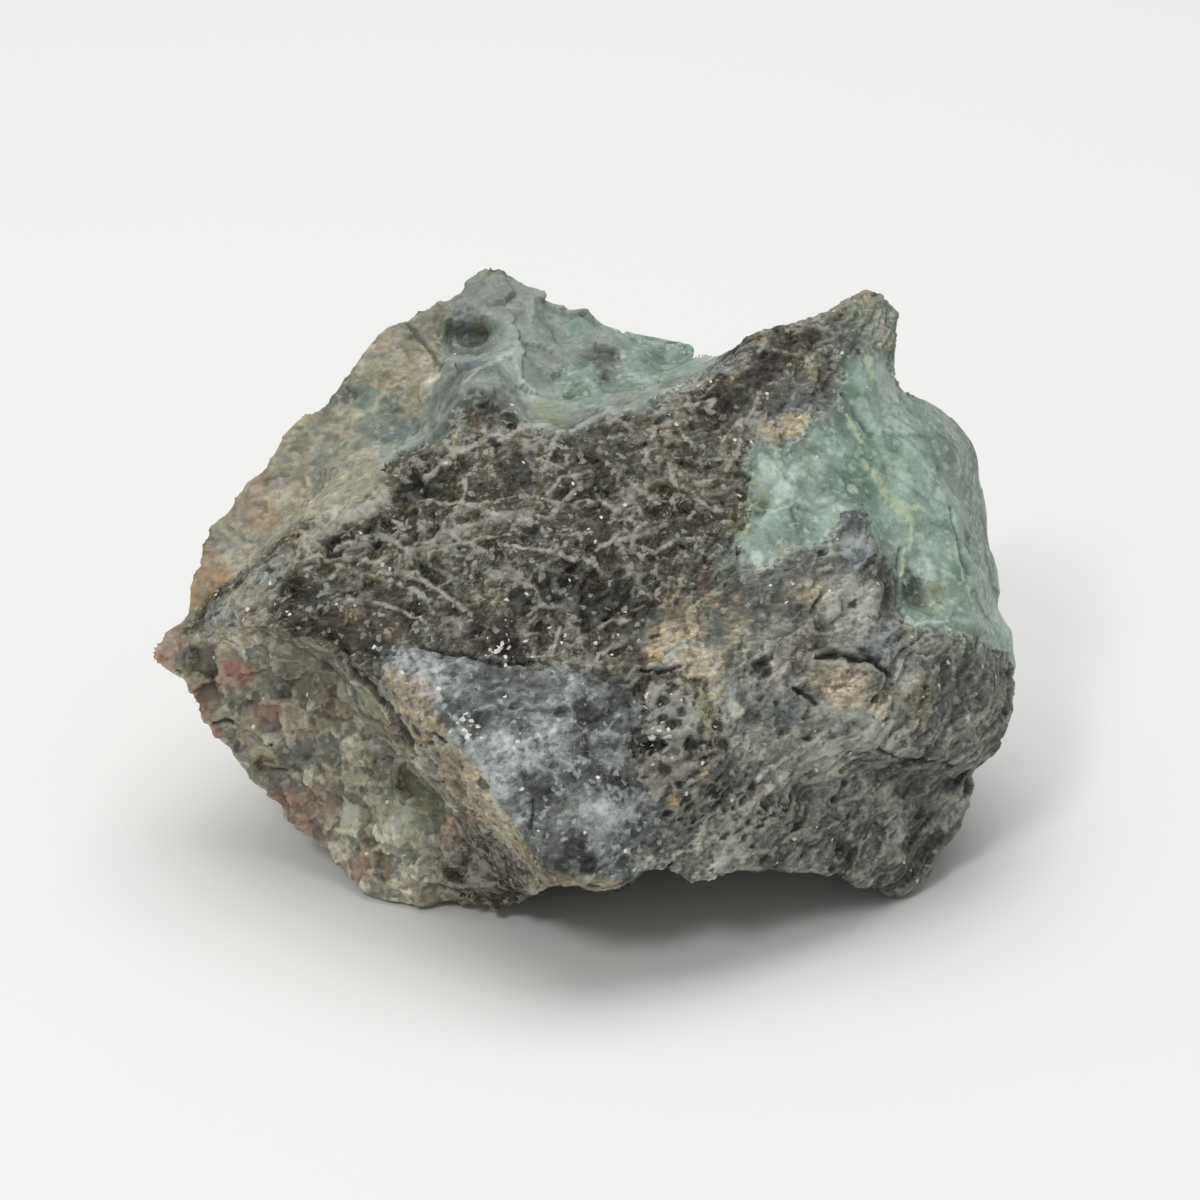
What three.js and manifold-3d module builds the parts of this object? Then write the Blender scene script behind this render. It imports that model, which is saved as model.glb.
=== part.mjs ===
// Rough emerald in mica schist: one broken lump of rock that rests on small flat spots of its underside.
// Units are millimetres. +Z is up, +X is to the right of the best side, and -Y is towards its viewer.
// The origin is at the middle of the lump's box, on the surface that it rests on.
//
// The lump is shaped as a carver would rough it out. Its outline is the rim seen from the best side, its
// visible fractures are a relief in front of that rim, and its hidden ones are a relief behind it.
import * as THREE from "three";
import Module from "manifold-3d";
import { ImprovedNoise } from "three/addons/math/ImprovedNoise.js";
import { mergeVertices } from "three/addons/utils/BufferGeometryUtils.js";

// Driving dimensions
const sightElevation = THREE.MathUtils.degToRad(28); // how far the line of sight looks down
const sightDistance = 300; // from the eye to the middle of the lump
const sightHeight = 15.4; // of the sight's middle above the resting surface
const frontEdge = 1.75; // longest mesh edge on the fractures in view
const backEdge = 2.8; // longest mesh edge on the underside and the back
const outlineEdge = 2; // longest straight run of the rim and the ridges before refining
const sameSpot = 0.25; // points closer than this in view count as one
const rimClearance = 0.15; // how far outside the circle over a run of the rim other points stay
const sameCorner = 1e-4; // corners closer than this are merged before a cut
const cutterSize = 120; // edge of the block under the resting surface, wider than the lump

// Relief of the broken surface: how wide the lumps, chips and mica ledges are, and how high they stand
const lumps = { width: 9, height: 0.6 };
const chips = { width: 6.4, height: 0.4, slope: 0.13 };
const flakes = { width: 3.2, height: 0.2, slope: 0.11 };
const ledges = { width: 3.1, height: 0.36, waver: 2.4, waverWidth: 14 };

// Share of that relief which each part takes. A part without its own takes that of ridge, or all of it.
const roughness = {
  rim: 0.3, ridge: 0.65, hidden: 1.6, emerald: 0.45, emeraldLeft: 0.5, emeraldRight: 0.45,
  blockTop: 0.5, spikeLeft: 0.35, spikeRight: 0.35, spikeFoot: 0.4, spikeDrop: 0.3, fin: 0.3,
  backPit: 0.4, greenBowl: 0.4, caveLip: 0.35, caveLipInside: 0.35, slab: 0.7, schistLedge: 0.4,
  schistRecess: 0.4,
};
const foliation = new THREE.Vector3(-0.28, -0.3, 0.91).normalize(); // square to the mica sheets
const noiseOffset = new THREE.Vector3(17.3, 4.1, 9.7); // where in the noise the lump lies
const surrounding = [[-1000, -1000], [1000, -1000], [0, 1000]]; // a triangle far outside the lump

// Landmarks in view are [right, up, near]: millimetres from the middle of the sight, near is to the eye.
// The rim runs from the left tip, under the lump, up its right side and back over its peaks.
const rimLowerLeft = [
  [-28.4, -3.6, 3], [-27.6, -4.7, 3.2], [-26.4, -5.2, 3.2], [-25.8, -6.4, 2.8], [-24.8, -8.3, 2],
  [-24, -9.1, 1.6], [-23.2, -9.5, 1.4], [-22.4, -11.1, 1], [-21.2, -12.3, 0.8], [-19.6, -14.1, 0.8],
  [-18.1, -14.8, 1], [-17.2, -15.8, 1.2], [-16.4, -17, 1.8], [-15.2, -18.2, 2.4],
];
const rimBottomLeft = [
  [-13.1, -19, 2.9], [-11.2, -19.3, 3.3], [-10.2, -18.9, 3.6], [-8.9, -19, 4], [-7.1, -19.3, 4.6],
  [-5.5, -19.1, 5.5], [-4.3, -18.6, 9], [-3.6, -18.2, 14],
];
const rimBottomFront = [
  [-3, -18.2, 16], [0.9, -17.9, 15.8], [3.25, -17.3, 15], [4.5, -17.2, 14.6], [6.25, -17.8, 14],
  [7.5, -17.8, 13.4], [8.8, -17.1, 12.6], [10.1, -17.1, 11.8], [11.6, -16.75, 10.8], [13.1, -16.9, 9.8],
  [14.4, -17.2, 8.8], [15.5, -17.7, 7.4], [16.6, -17.9, 5.6], [17.6, -18, 4], [19.1, -18.7, 2.4],
];
const rimRight = [
  [19.8, -18.8, 1.9], [20.9, -17.5, 1.6], [21.5, -16.2, 1.4], [22.4, -15.1, 1.2], [22.8, -13.9, 1],
  [23.2, -12.6, 1], [23.2, -11.1, 0.8], [23.9, -10.4, 0.6], [24.9, -9.1, 0], [25.6, -7.2, -0.8],
  [25.9, -5.4, -1.2], [26.1, -3.9, -1.8], [26.1, -2.9, -2.2], [26, -1.8, -2.8], [24.9, -0.5, -3.6],
  [25, 0.6, -4], [24.8, 2.7, -5], [24.2, 4.3, -5.8], [24.2, 5.7, -6.4], [23.8, 7.7, -7],
  [23.7, 9.4, -7.4], [23.2, 10.2, -7.6], [22.2, 11.5, -7.8], [21, 12.3, -7.4], [19, 13.1, -5.6],
];
const rimRightPeak = [
  [18.6, 13.9, -4], [18.5, 14.7, -3.2], [18.8, 16.4, -3], [18.9, 17.8, -3], [18.2, 19, -2.8],
  [17.3, 19.6, -2.4], [16.5, 19.6, -2.2], [15.6, 19.3, -1.8], [14.7, 18.6, -1.4], [13.8, 18.2, -1],
  [12.5, 17.6, -0.5], [11.2, 17.1, 0], [10.4, 17.2, 0], [9.3, 16.7, -0.4], [8.1, 16.1, -1],
  [7.5, 15.5, -2],
];
const rimBackValley = [
  [5.9, 15.9, -10], [4.5, 16.5, -11.5], [3.4, 16.6, -12], [1.7, 16.8, -12], [0.4, 17.1, -12],
  [-0.6, 18.4, -12], [-1.4, 18.4, -12.2], [-2.8, 18.7, -12.2], [-3.3, 19.5, -12], [-4.4, 19.9, -12],
];
const rimBackPeak = [
  [-5.2, 20.6, -11.8], [-6.2, 21.2, -11.5], [-7.5, 21.2, -11], [-8.5, 20.2, -10.5], [-9.2, 19.2, -10.2],
  [-10.2, 19.1, -10], [-11.8, 18.4, -9.6], [-12.4, 17.6, -9.2], [-14, 16.8, -8.8], [-14.9, 15.6, -8.2],
];
const rimLeft = [
  [-15.6, 14.2, -7.6], [-16.7, 13, -7], [-17.6, 12.1, -6.4], [-18.6, 11.9, -6], [-20.1, 10.3, -5.2],
  [-21.1, 8.4, -4.4], [-22.1, 7.8, -4], [-23.1, 6.9, -3.4], [-23.3, 6.1, -3], [-24.6, 4.9, -2.4],
  [-25.1, 3.9, -1.8], [-25.3, 2.6, -1.2], [-25.8, 1.9, -0.6], [-26.1, 0.4, 0.2], [-26.1, -0.9, 0.8],
  [-27.4, -1.9, 1.6], [-28.2, -2.9, 2.4],
];
const rim = [
  rimLowerLeft, rimBottomLeft, rimBottomFront, rimRight, rimRightPeak,
  rimBackValley, rimBackPeak, rimLeft,
].flat();

// Sharp lines of the visible side. A crest is followed by the drop behind it, which it half hides.
const ridges = {
  leftCrest: [
    [-26.4, -3.3, 4.2], [-24.1, -0.3, 4.6], [-21.1, 2.4, 4.2], [-18.1, 5.2, 3.6], [-17.1, 6.2, 3.2],
  ],
  leftCrestDrop: [
    [-26.3, -2.2, 1.2], [-24.6, 0.6, 0], [-21.8, 3.1, -1.4], [-19, 5.8, -2.2], [-17.9, 7, -2.6],
  ],
  greyStep: [
    [-17.1, 6.2, 2.8], [-15.8, 8.1, 0.8], [-13.6, 8.9, 0.6], [-12.2, 9.1, 1.6], [-10.6, 9.4, 2.2],
  ],
  greyStepFoot: [[-16.4, 5.9, 3.2], [-13.4, 6.7, 3.4], [-12.2, 9.1, 1.6]],
  greyStepDrop: [[-16.6, 8.9, -2.8], [-14.2, 9.8, -3.4], [-12.3, 10, -3.4], [-11.4, 10.4, -3.4]],
  spikeLeft: [[-10.6, 9.4, 2.6], [-9.7, 11, 2.5], [-8.5, 13.5, 2.1], [-7.9, 14.2, 1.8]],
  spikeRight: [[-7.9, 14.2, 1.8], [-6.9, 13.9, 1.9], [-5.6, 12.6, 2], [-4.2, 10.9, 2.2]],
  spikeFoot: [[-10.2, 9, 3.2], [-7.8, 10.7, 3.4], [-6.1, 10.2, 3.6], [-4.6, 10.5, 2.8]],
  spikeDrop: [[-10.8, 11.5, -3.2], [-9.8, 13.7, -4], [-8.9, 14.9, -5]],
  fin: [
    [-7.2, 14.7, -1.2], [-6.4, 15, -2.2], [-5.2, 15.4, -3.5], [-5.7, 16.3, -5.2],
    [-5.8, 17.2, -6.8],
  ],
  middleCrest: [
    [-4.2, 10.9, 2], [-2, 11.2, 2.6], [0, 11.6, 2.6], [2.5, 12, 2.6], [5.1, 12.9, 2.2], [6.4, 13.5, 2],
    [9, 15.4, 1.4], [10.8, 16.8, 0.4],
  ],
  middleCrestDrop: [
    [-5, 12.9, -1], [-3.6, 11.9, -1.8], [-2, 12.1, -2.6], [0, 12.5, -3.4], [2.4, 12.9, -3.8],
    [4.9, 13.8, -4], [6.2, 14.6, -3.6],
  ],
  caveEdge: [
    [-26.2, -4, 3.8], [-25.1, -2.5, 4.6], [-23.4, -1.9, 6], [-21.6, -1.9, 7.2], [-20, -1.8, 8],
    [-18.9, -2.1, 8.4], [-17.1, -2.5, 9], [-16.1, -3.5, 9.6], [-14.4, -5.5, 10.4],
  ],
  caveLip: [
    [-13.7, -4.5, 11.2], [-12.7, -5.9, 11.9], [-10.9, -8.2, 13], [-9.2, -9.4, 13.8], [-7.5, -11.1, 14.8],
    [-6.1, -12.6, 15.4], [-4.7, -14.4, 16], [-3.5, -16.1, 16.4], [-2.7, -17.2, 16.4],
  ],
  caveLipInside: [
    [-14.4, -5.5, 10.4], [-13.1, -7.1, 10.4], [-12.1, -8.7, 11], [-10.9, -10.2, 11.4], [-9.2, -11.9, 12],
    [-7.5, -13.4, 12.6], [-6.1, -14.8, 13], [-4.9, -16.2, 13.6], [-3.9, -17.4, 14.2],
  ],
  caveBack: [
    [-25.4, -3.6, 3.2], [-23.6, -3, 3.6], [-21.6, -2.9, 4.4], [-20, -2.9, 4.8], [-18.4, -3.3, 5],
    [-17, -4.2, 5.2], [-15.6, -5.8, 5.4], [-14.4, -7.6, 5.2], [-13.2, -9.4, 4.8], [-12, -11, 4.4],
    [-10.4, -12.8, 4.6], [-8.8, -14.6, 5.6], [-7.2, -16.1, 6.4], [-5.8, -17.6, 7],
  ],
  slabGroove: [
    [-12, -3.2, 10.8], [-9.6, -3.2, 11.2], [-7.2, -3.6, 11.4], [-2.5, -3.5, 11.6], [1.2, -3, 11.4],
  ],
  slabTop: [
    [-12.4, -4.6, 11.8], [-9.8, -4.2, 12.3], [-7.2, -4.7, 12.7], [-2.5, -4.6, 12.7],
    [1.2, -4.3, 12.3],
  ],
  slabRight: [[1.4, -5.6, 12.4], [2.6, -10, 13.8], [4.2, -14.2, 14.5], [5.2, -16.4, 14.2]],
  emeraldLeft: [
    [12.6, 16, 1], [11.4, 14, 2.8], [10.3, 12.5, 4], [9.4, 9.4, 5.6], [9.2, 5.6, 7.2], [9.1, 2.5, 8.6],
  ],
  emeraldRight: [
    [18.1, 12.2, -0.7], [19.2, 9.7, 0.1], [20.8, 8.2, -0.1], [21.9, 5.5, 0.7], [22.4, 3.1, 1.7],
    [22.9, 0.6, 2.8], [23.3, -1.3, 3.7],
  ],
  blockTop: [
    [9.1, 2.5, 8.8], [12.5, 2.9, 8.4], [14.6, 4, 7.4], [16.2, 5.4, 6], [16.9, 2.6, 7.2],
    [17.3, -0.4, 8],
  ],
  blockSide: [[17.4, 5.6, 3.6], [18.2, 2.6, 4], [18.8, -0.2, 4.4]],
  schistTop: [[16.2, -2.2, 8.9], [18.6, -2, 7.9], [21, -1.7, 6.6], [23.3, -1.6, 4.6]],
  schistTopBack: [[17.8, -1, 6.2], [20.4, -0.7, 4.6], [22.6, -0.5, 3.8]],
  schistLedge: [
    [14.8, -8.6, 10.8], [16.6, -9.2, 10.4], [18.6, -9.6, 9.4], [21, -9.7, 7.8], [23.2, -9.4, 5],
  ],
  schistRecess: [[15.6, -10, 8.2], [18.2, -10.7, 5.4], [20.6, -10.8, 3.2], [22.3, -10.6, 1.4]],
};

// Single points of the visible side, by the fracture that they shape
const fractures = {
  darkFace: [
    [-12.5, 3.8, 6], [-18.8, 0.6, 5.8], [-14.4, 0, 8], [-8.1, 6.2, 6], [-2.5, 6.2, 6.6],
    [3.1, 7.5, 6.2], [-7.5, 0.6, 9.2], [-1.2, 1.2, 9.8], [5, 2.5, 9.4], [-22, -0.6, 5.6],
    [-16, 3.4, 5.2], [-5, 3.6, 7.8], [0.8, 4.6, 8], [-10.5, -1.2, 9.8], [-4.5, -1.2, 10.8],
    [2.2, -0.4, 10.5], [0, 9, 4.6], [4.8, 10.2, 4.6], [-5, 8.6, 4.8], [7.6, 12, 3.6],
  ],
  leftSlope: [
    [-12.8, 14, -6.2], [-12.4, 16, -8.2], [-15.4, 12.2, -5.6], [-14.6, 10.8, -4.2], [-18, 9.8, -4.6],
    [-17.4, 8.6, -3.6], [-20.4, 7.8, -3.6], [-19.8, 6.8, -2.8], [-22.6, 5.2, -2.4], [-24.2, 2.6, -1.4],
    [-25.4, 0.8, 0],
  ],
  backPit: [
    [-10.2, 12.7, -4.4], [-9.9, 14.7, -6.6], [-10.5, 16.9, -8.6], [-8.6, 16.3, -9.7],
    [-7.1, 16.2, -9.4], [-7.9, 15.4, -8.2], [-9.4, 17.7, -8.2], [-7.9, 18.1, -8], [-6.4, 17.5, -7.4],
    [-5.9, 16.2, -6],
  ],
  greenBowl: [
    [-3.8, 13.9, -4.2], [-4.9, 18.4, -9], [-6.6, 19.6, -9.8], [-2.6, 15.6, -8.6], [-2.6, 13.3, -4.4],
    [-3.6, 17.4, -10.4],
  ],
  backKnobs: [
    [0.2, 15.5, -7.4], [-1.3, 15.8, -9.6], [1.9, 15.6, -9.8], [0.4, 14.4, -7.6], [-0.8, 17.2, -10.8],
    [-0.9, 13.6, -4], [0.8, 13.5, -5.4], [2.8, 14.9, -8], [4.4, 15.4, -9.4], [6, 15.2, -7],
  ],
  cave: [
    [-22.6, -5, 3.8], [-18.8, -5.2, 4.2], [-21.2, -7.4, 3.2], [-16.2, -7.4, 4.6], [-18.6, -9.6, 2.8],
    [-15, -10.4, 3.8], [-17, -12.6, 2.4], [-14.4, -13.2, 3.8], [-13.6, -15.6, 3.8], [-10.4, -15.8, 5],
    [-8.2, -17.3, 6], [-14.6, -16.8, 3.2], [-23.4, -7.4, 2.8], [-20.6, -10.8, 2], [-11.4, -17.4, 4.4],
    [-12.9, -11.9, 5.8], [-11.4, -13.6, 6.2], [-13, -14.2, 5.6],
  ],
  slab: [
    [-2.5, -7.5, 14.2], [-6.2, -6.6, 13.6], [-5, -9.8, 15.2], [0, -12.5, 15.8], [-1.8, -15.4, 16.6],
    [8.8, -14.2, 12.9], [1.8, -15.2, 15.8], [4.4, -6.4, 13.6], [5.4, -8.8, 14.2], [6.4, -11.4, 13.7],
    [4.8, -3, 12.2],
  ],
  emerald: [
    [15, 10.6, 2.6], [14, 13.6, 1.8], [16.6, 12.4, 0.4], [17.4, 7.8, 2.5], [12.4, 8.2, 5.4],
    [13.6, 6.2, 5.4], [19.6, 4.6, 2.8], [20.6, 1.4, 4], [16, 16.6, 0.2], [17.4, 16, -0.8],
    [16.4, 18.2, -0.8], [11.4, 5.2, 7], [15.6, 7.6, 3.8], [19, 7, 1.8],
  ],
  shoulder: [
    [20.6, 10.8, -3.6], [22.2, 9.2, -3.6], [23, 6.2, -2.6], [23.6, 3.4, -1.4], [24, 0.8, -0.2],
    [24.8, -1.6, 0.6],
  ],
  schist: [
    [7.6, -1.6, 10.6], [11.2, -2.6, 10.2], [14.2, -0.8, 9.2], [20.6, -4.6, 8.4], [24.2, -4.4, 4.6],
    [8.4, -6.4, 12.2], [11.2, -9, 11.8], [24.4, -7.4, 4.2], [13.8, -12.5, 9.6], [17.5, -13.8, 6],
    [20.6, -13.8, 3.2], [17.8, -16, 5], [14.6, -15.2, 8.4], [22, -12.4, 2.6], [17, -5.4, 10.2],
  ],
};

// Points of the hidden side are [x, y, z] above the resting surface, before the lump is centred.
// The ones just under it are sliced off flat, which leaves the spots that the lump rests on.
const hidden = {
  restingSpots: [
    [-12.6, -9.4, -0.5], [-9, -10, -0.6], [-13, -5, -0.5], [-9, -4.4, -0.7], [-5.6, -7.4, -0.5],
    [-11.4, 0, -0.5], [-7, 1.4, -0.5], [18.4, -9.6, -0.5], [19.8, -8, -0.5], [2.6, 12.4, -0.5],
    [5.4, 11.2, -0.6], [3.4, 9.4, 0.4], [17.6, -7.6, -0.4],
  ],
  underSlab: [
    [-2.6, -18.4, 5], [2.4, -18.6, 5.6], [-1, -14.4, 2.6], [4, -14.6, 3.6], [9, -15, 4.4],
    [1, -9.4, 1.2], [8, -9.6, 1.8], [13.6, -12.2, 3],
  ],
  underMiddle: [
    [-4, -1.6, 0.6], [4, -2.6, 1.2], [12, -4.4, 1.4], [-2.4, 5, 0.9], [5, 4.4, 1], [11.4, 2.6, 1.4],
    [-6, 9.4, 1.6], [11.6, 9, 1.6], [18.6, -2.2, 1.9],
  ],
  leftFlank: [
    [-20, -4, 6], [-17, -1.6, 1.8], [-22.4, -0.4, 8.4], [-24.2, -0.6, 12], [-15.8, 4.6, 2.2],
    [-20.4, 4.6, 7], [-22, 6, 12.6], [-17.6, 9, 9], [-19.4, 9.6, 15],
  ],
  rightFlank: [
    [22.4, -4.2, 3.4], [23.6, 0.4, 6.4], [19.4, 3.6, 2], [22.6, 5.6, 8.6], [21.6, 8.8, 14.6],
    [19, 8.8, 4.4],
  ],
  back: [
    [-8, 21.4, 21.4], [-2, 22, 17.4], [4.4, 20.8, 17], [-6, 19.4, 9.6], [1.6, 18.4, 7.6],
    [8.4, 17.6, 11.6], [-11.4, 13, 4.4], [-13, 14.6, 8.2], [-14.6, 15.4, 12.6], [-16, 14.4, 17.6],
    [-11.8, 18.4, 19.8], [9.8, 15.4, 4.6], [13.4, 16.2, 10.6], [11.4, 15.6, 21], [15.4, 14.2, 26],
    [18.2, 13.4, 19.6], [17.8, 13, 12.4],
    [17.1, 12.8, 28.6], [12.4, 14, 26.4], [-7, 20.8, 26], [-10.4, 19.8, 24.4], [-3.4, 21.2, 22.6],
    [0.8, 20.8, 20.4], [2, 16.4, 3.6], [-5, 16.8, 5.2], [6.8, 15, 4.4],
  ],
};

// Directions of the sight in space
const rightward = new THREE.Vector3(1, 0, 0);
const upward = new THREE.Vector3(0, Math.sin(sightElevation), Math.cos(sightElevation));
const nearward = new THREE.Vector3(0, -Math.cos(sightElevation), Math.sin(sightElevation));

// What is nearer the eye looks larger, so a sighted point lies closer to the middle than it seems.
function fromSight([right, up, near]) {
  const shrink = (sightDistance - near) / sightDistance;
  return new THREE.Vector3(0, 0, sightHeight)
    .addScaledVector(rightward, right * shrink)
    .addScaledVector(upward, up * shrink)
    .addScaledVector(nearward, near);
}

// The landmark at a place in space
function toSight([x, y, z]) {
  const offset = new THREE.Vector3(x, y, z - sightHeight);
  const near = offset.dot(nearward);
  const shrink = (sightDistance - near) / sightDistance;
  return [offset.dot(rightward) / shrink, offset.dot(upward) / shrink, near];
}

// Puts further points on each straight run, so that no run is longer than the given length in view.
function divided(line, longest, closed = false) {
  const made = [];
  const runs = closed ? line.length : line.length - 1;
  for (let i = 0; i < runs; i++) {
    const from = line[i];
    const to = line[(i + 1) % line.length];
    const steps = Math.ceil(Math.hypot(to[0] - from[0], to[1] - from[1]) / longest);
    for (let step = 0; step < steps; step++) {
      made.push(from.map((value, k) => value + ((to[k] - value) * step) / steps));
    }
  }
  if (!closed) made.push(line[line.length - 1]);
  return made;
}

// Leaves out the points that an earlier one already marks, where two ridges meet.
function distinct(points) {
  const kept = [];
  for (const [right, up, ...rest] of points) {
    const free = kept.every(([r, u]) => Math.hypot(right - r, up - u) > sameSpot);
    if (free) kept.push([right, up, ...rest]);
  }
  return kept;
}

// Delaunay triangles of points in the plane of sight, inside one triangle far larger than the lump. Each
// new point clears the triangles whose circle holds it, and is joined to the edges of the cleared space.
function triangulated(points) {
  const all = [...points, ...surrounding];
  const holds = ([a, b, c], [px, py]) => {
    const [ax, ay, bx, by, cx, cy] = [a, b, c].flatMap((i) => [all[i][0] - px, all[i][1] - py]);
    const lift = (x, y) => x * x + y * y;
    return (
      lift(ax, ay) * (bx * cy - cx * by) -
        lift(bx, by) * (ax * cy - cx * ay) +
        lift(cx, cy) * (ax * by - bx * ay) > 0
    );
  };
  let triangles = [[points.length, points.length + 1, points.length + 2]];
  points.forEach((point, index) => {
    const open = new Map();
    triangles = triangles.filter((t) => {
      if (!holds(t, point)) return true;
      for (let k = 0; k < 3; k++) {
        const [a, b] = [t[k], t[(k + 1) % 3]];
        if (!open.delete(`${b},${a}`)) open.set(`${a},${b}`, [a, b]);
      }
      return false;
    });
    for (const [a, b] of open.values()) triangles.push([a, b, index]);
  });
  return triangles.filter((t) => t.every((i) => i < points.length));
}

// True where a line from the point to the far right crosses the outline an odd number of times.
function inside(outline, [x, y]) {
  let odd = false;
  for (let i = 0, j = outline.length - 1; i < outline.length; j = i++) {
    const [ax, ay] = outline[i];
    const [bx, by] = outline[j];
    if (ay > y !== by > y && x < ((bx - ax) * (y - ay)) / (by - ay) + ax) odd = !odd;
  }
  return odd;
}

// One side of the lump: the triangles between the rim and the points of that side, inside the rim.
function sheet(outline, points) {
  const all = [...outline, ...points];
  return triangulated(all).filter((t) => {
    const middle = [0, 1].map((k) => (all[t[0]][k] + all[t[1]][k] + all[t[2]][k]) / 3);
    return inside(outline, middle);
  });
}

// A point inside the circle over a run of the rim would push that run out of the triangles.
function clearOf(outline, [x, y]) {
  return outline.every(([ax, ay], i) => {
    const [bx, by] = outline[(i + 1) % outline.length];
    const radius = Math.hypot(ax - bx, ay - by) / 2;
    return Math.hypot(x - (ax + bx) / 2, y - (ay + by) / 2) > radius + rimClearance;
  });
}

// Gives every point of a part of the surface that part's roughness as a fourth number.
const roughened = (points, share) => points.map((point) => [...point, share]);

// The whole surface in large triangles: the visible sheet and the hidden one meet at the rim.
function roughedOut() {
  const outline = roughened(divided(rim, outlineEdge, true), roughness.rim);
  const clearOfRim = (p) => clearOf(outline, p);
  const lines = Object.entries(ridges).flatMap(([name, line]) =>
    roughened(divided(line, outlineEdge), roughness[name] ?? roughness.ridge),
  );
  const spots = Object.entries(fractures).flatMap(([name, points]) =>
    roughened(points, roughness[name] ?? 1),
  );
  const front = distinct([...lines, ...spots]).filter(clearOfRim);
  const underneath = Object.values(hidden).flat().map(toSight);
  const back = roughened(underneath, roughness.hidden).filter(clearOfRim);
  const onBack = (i) => (i < outline.length ? i : i + front.length);
  const all = [...outline, ...front, ...back];
  return {
    points: all.map(fromSight),
    loose: all.map(([, , , share]) => share),
    faces: [
      ...sheet(outline, front).map((t) => ({ corners: t, longest: frontEdge })),
      ...sheet(outline, back).map(([a, b, c]) => ({
        corners: [a, c, b].map(onBack), longest: backEdge,
      })),
    ],
  };
}

// Halves every edge that is too long, and cuts the faces on both sides of it, until none is.
function refined({ points, loose, faces }) {
  for (;;) {
    const halves = new Map();
    const key = (a, b) => (a < b ? `${a},${b}` : `${b},${a}`);
    for (const { corners, longest } of faces) {
      for (let k = 0; k < 3; k++) {
        const [a, b] = [corners[k], corners[(k + 1) % 3]];
        if (points[a].distanceTo(points[b]) > longest) halves.set(key(a, b), null);
      }
    }
    if (!halves.size) return { points, loose, faces };
    for (const edge of halves.keys()) {
      const [a, b] = edge.split(",").map(Number);
      halves.set(edge, points.length);
      points.push(points[a].clone().lerp(points[b], 0.5));
      loose.push((loose[a] + loose[b]) / 2);
    }
    faces = faces.flatMap(({ corners, longest }) =>
      cutFace(corners, halves, key, points).map((cut) => ({ corners: cut, longest })),
    );
  }
}

// The pieces of one face, given the middles of those of its edges that are cut.
function cutFace([a, b, c], halves, key, points) {
  const [ab, bc, ca] = [halves.get(key(a, b)), halves.get(key(b, c)), halves.get(key(c, a))];
  const count = [ab, bc, ca].filter((m) => m !== undefined).length;
  if (count === 0) return [[a, b, c]];
  if (count === 3) return [[a, ab, ca], [ab, b, bc], [ca, bc, c], [ab, bc, ca]];
  // Turned so that the first edge is cut, and with two cuts the last one is whole.
  const turn = ab === undefined || (count === 2 && ca !== undefined);
  if (turn) return cutFace([b, c, a], halves, key, points);
  if (count === 1) return [[a, ab, c], [ab, b, c]];
  const shortCut = points[ab].distanceTo(points[c]) < points[a].distanceTo(points[bc]);
  if (shortCut) return [[a, ab, c], [ab, b, bc], [ab, bc, c]];
  return [[a, ab, bc], [ab, b, bc], [a, bc, c]];
}

const noise = new ImprovedNoise();

// Smooth noise from -1 to 1 that changes over about the given width.
function softly(p, width) {
  const place = p.clone().divideScalar(width).add(noiseOffset);
  return noise.noise(place.x, place.y, place.z);
}

// A repeatable value from 0 to 1 for a cell of space: the last digits of a large sine.
const stir = { x: 127.1, y: 311.7, z: 74.7, salt: 53.9, scale: 43758.5453 };
function chance(cell, salt) {
  const angle = cell.x * stir.x + cell.y * stir.y + cell.z * stir.z + salt * stir.salt;
  const large = Math.sin(angle) * stir.scale;
  return large - Math.floor(large);
}

// Ways from a cell to those that touch it, and to itself
const sides = [-1, 0, 1];
const around = sides.flatMap((z) =>
  sides.flatMap((y) => sides.map((x) => new THREE.Vector3(x, y, z))),
);

// Flat chip faces: every place lies on the tilted face of the nearest of some scattered centres, one to
// a cell. Each use of a cell's chance has a salt of its own.
function chipped(p, { width, height, slope }) {
  const place = p.clone().divideScalar(width);
  const home = place.clone().floor();
  let least = Infinity;
  let face = 0;
  for (const way of around) {
    const cell = home.clone().add(way);
    const centre = new THREE.Vector3(...[0, 1, 2].map((salt) => chance(cell, salt))).add(cell);
    const away = place.clone().sub(centre);
    if (away.lengthSq() < least) {
      least = away.lengthSq();
      const tilt = new THREE.Vector3(...[4, 5, 6].map((salt) => 2 * chance(cell, salt) - 1));
      face = height * (chance(cell, 3) - 0.5) + width * away.dot(tilt.setLength(slope));
    }
  }
  return face;
}

// Broken mica sheets: a saw-tooth across the foliation, wavering as folded schist does.
function ledged(p) {
  const across = p.dot(foliation) + ledges.waver * softly(p, ledges.waverWidth);
  const step = across / ledges.width;
  return step - Math.floor(step) - 0.5;
}

// How far the broken surface stands out at a place
function relief(p) {
  const lump = lumps.height * softly(p, lumps.width);
  return lump + chipped(p, chips) + chipped(p, flakes) + ledges.height * ledged(p);
}

// Moves every point along its normal by its share of the relief.
function weathered({ points, loose, faces }) {
  const outward = points.map(() => new THREE.Vector3());
  for (const { corners } of faces) {
    const [a, b, c] = corners.map((i) => points[i]);
    const normal = b.clone().sub(a).cross(c.clone().sub(a));
    for (const i of corners) outward[i].add(normal);
  }
  const moved = points.map((p, i) =>
    p.clone().addScaledVector(outward[i].normalize(), loose[i] * relief(p)),
  );
  return { points: moved, faces };
}

// The surface as a mesh
function geometryOf({ points, faces }) {
  const places = points.flatMap((p) => [p.x, p.y, p.z]);
  return new THREE.BufferGeometry()
    .setAttribute("position", new THREE.Float32BufferAttribute(places, 3))
    .setIndex(faces.flatMap(({ corners }) => corners));
}

const wasm = await Module();
wasm.setup();

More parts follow.
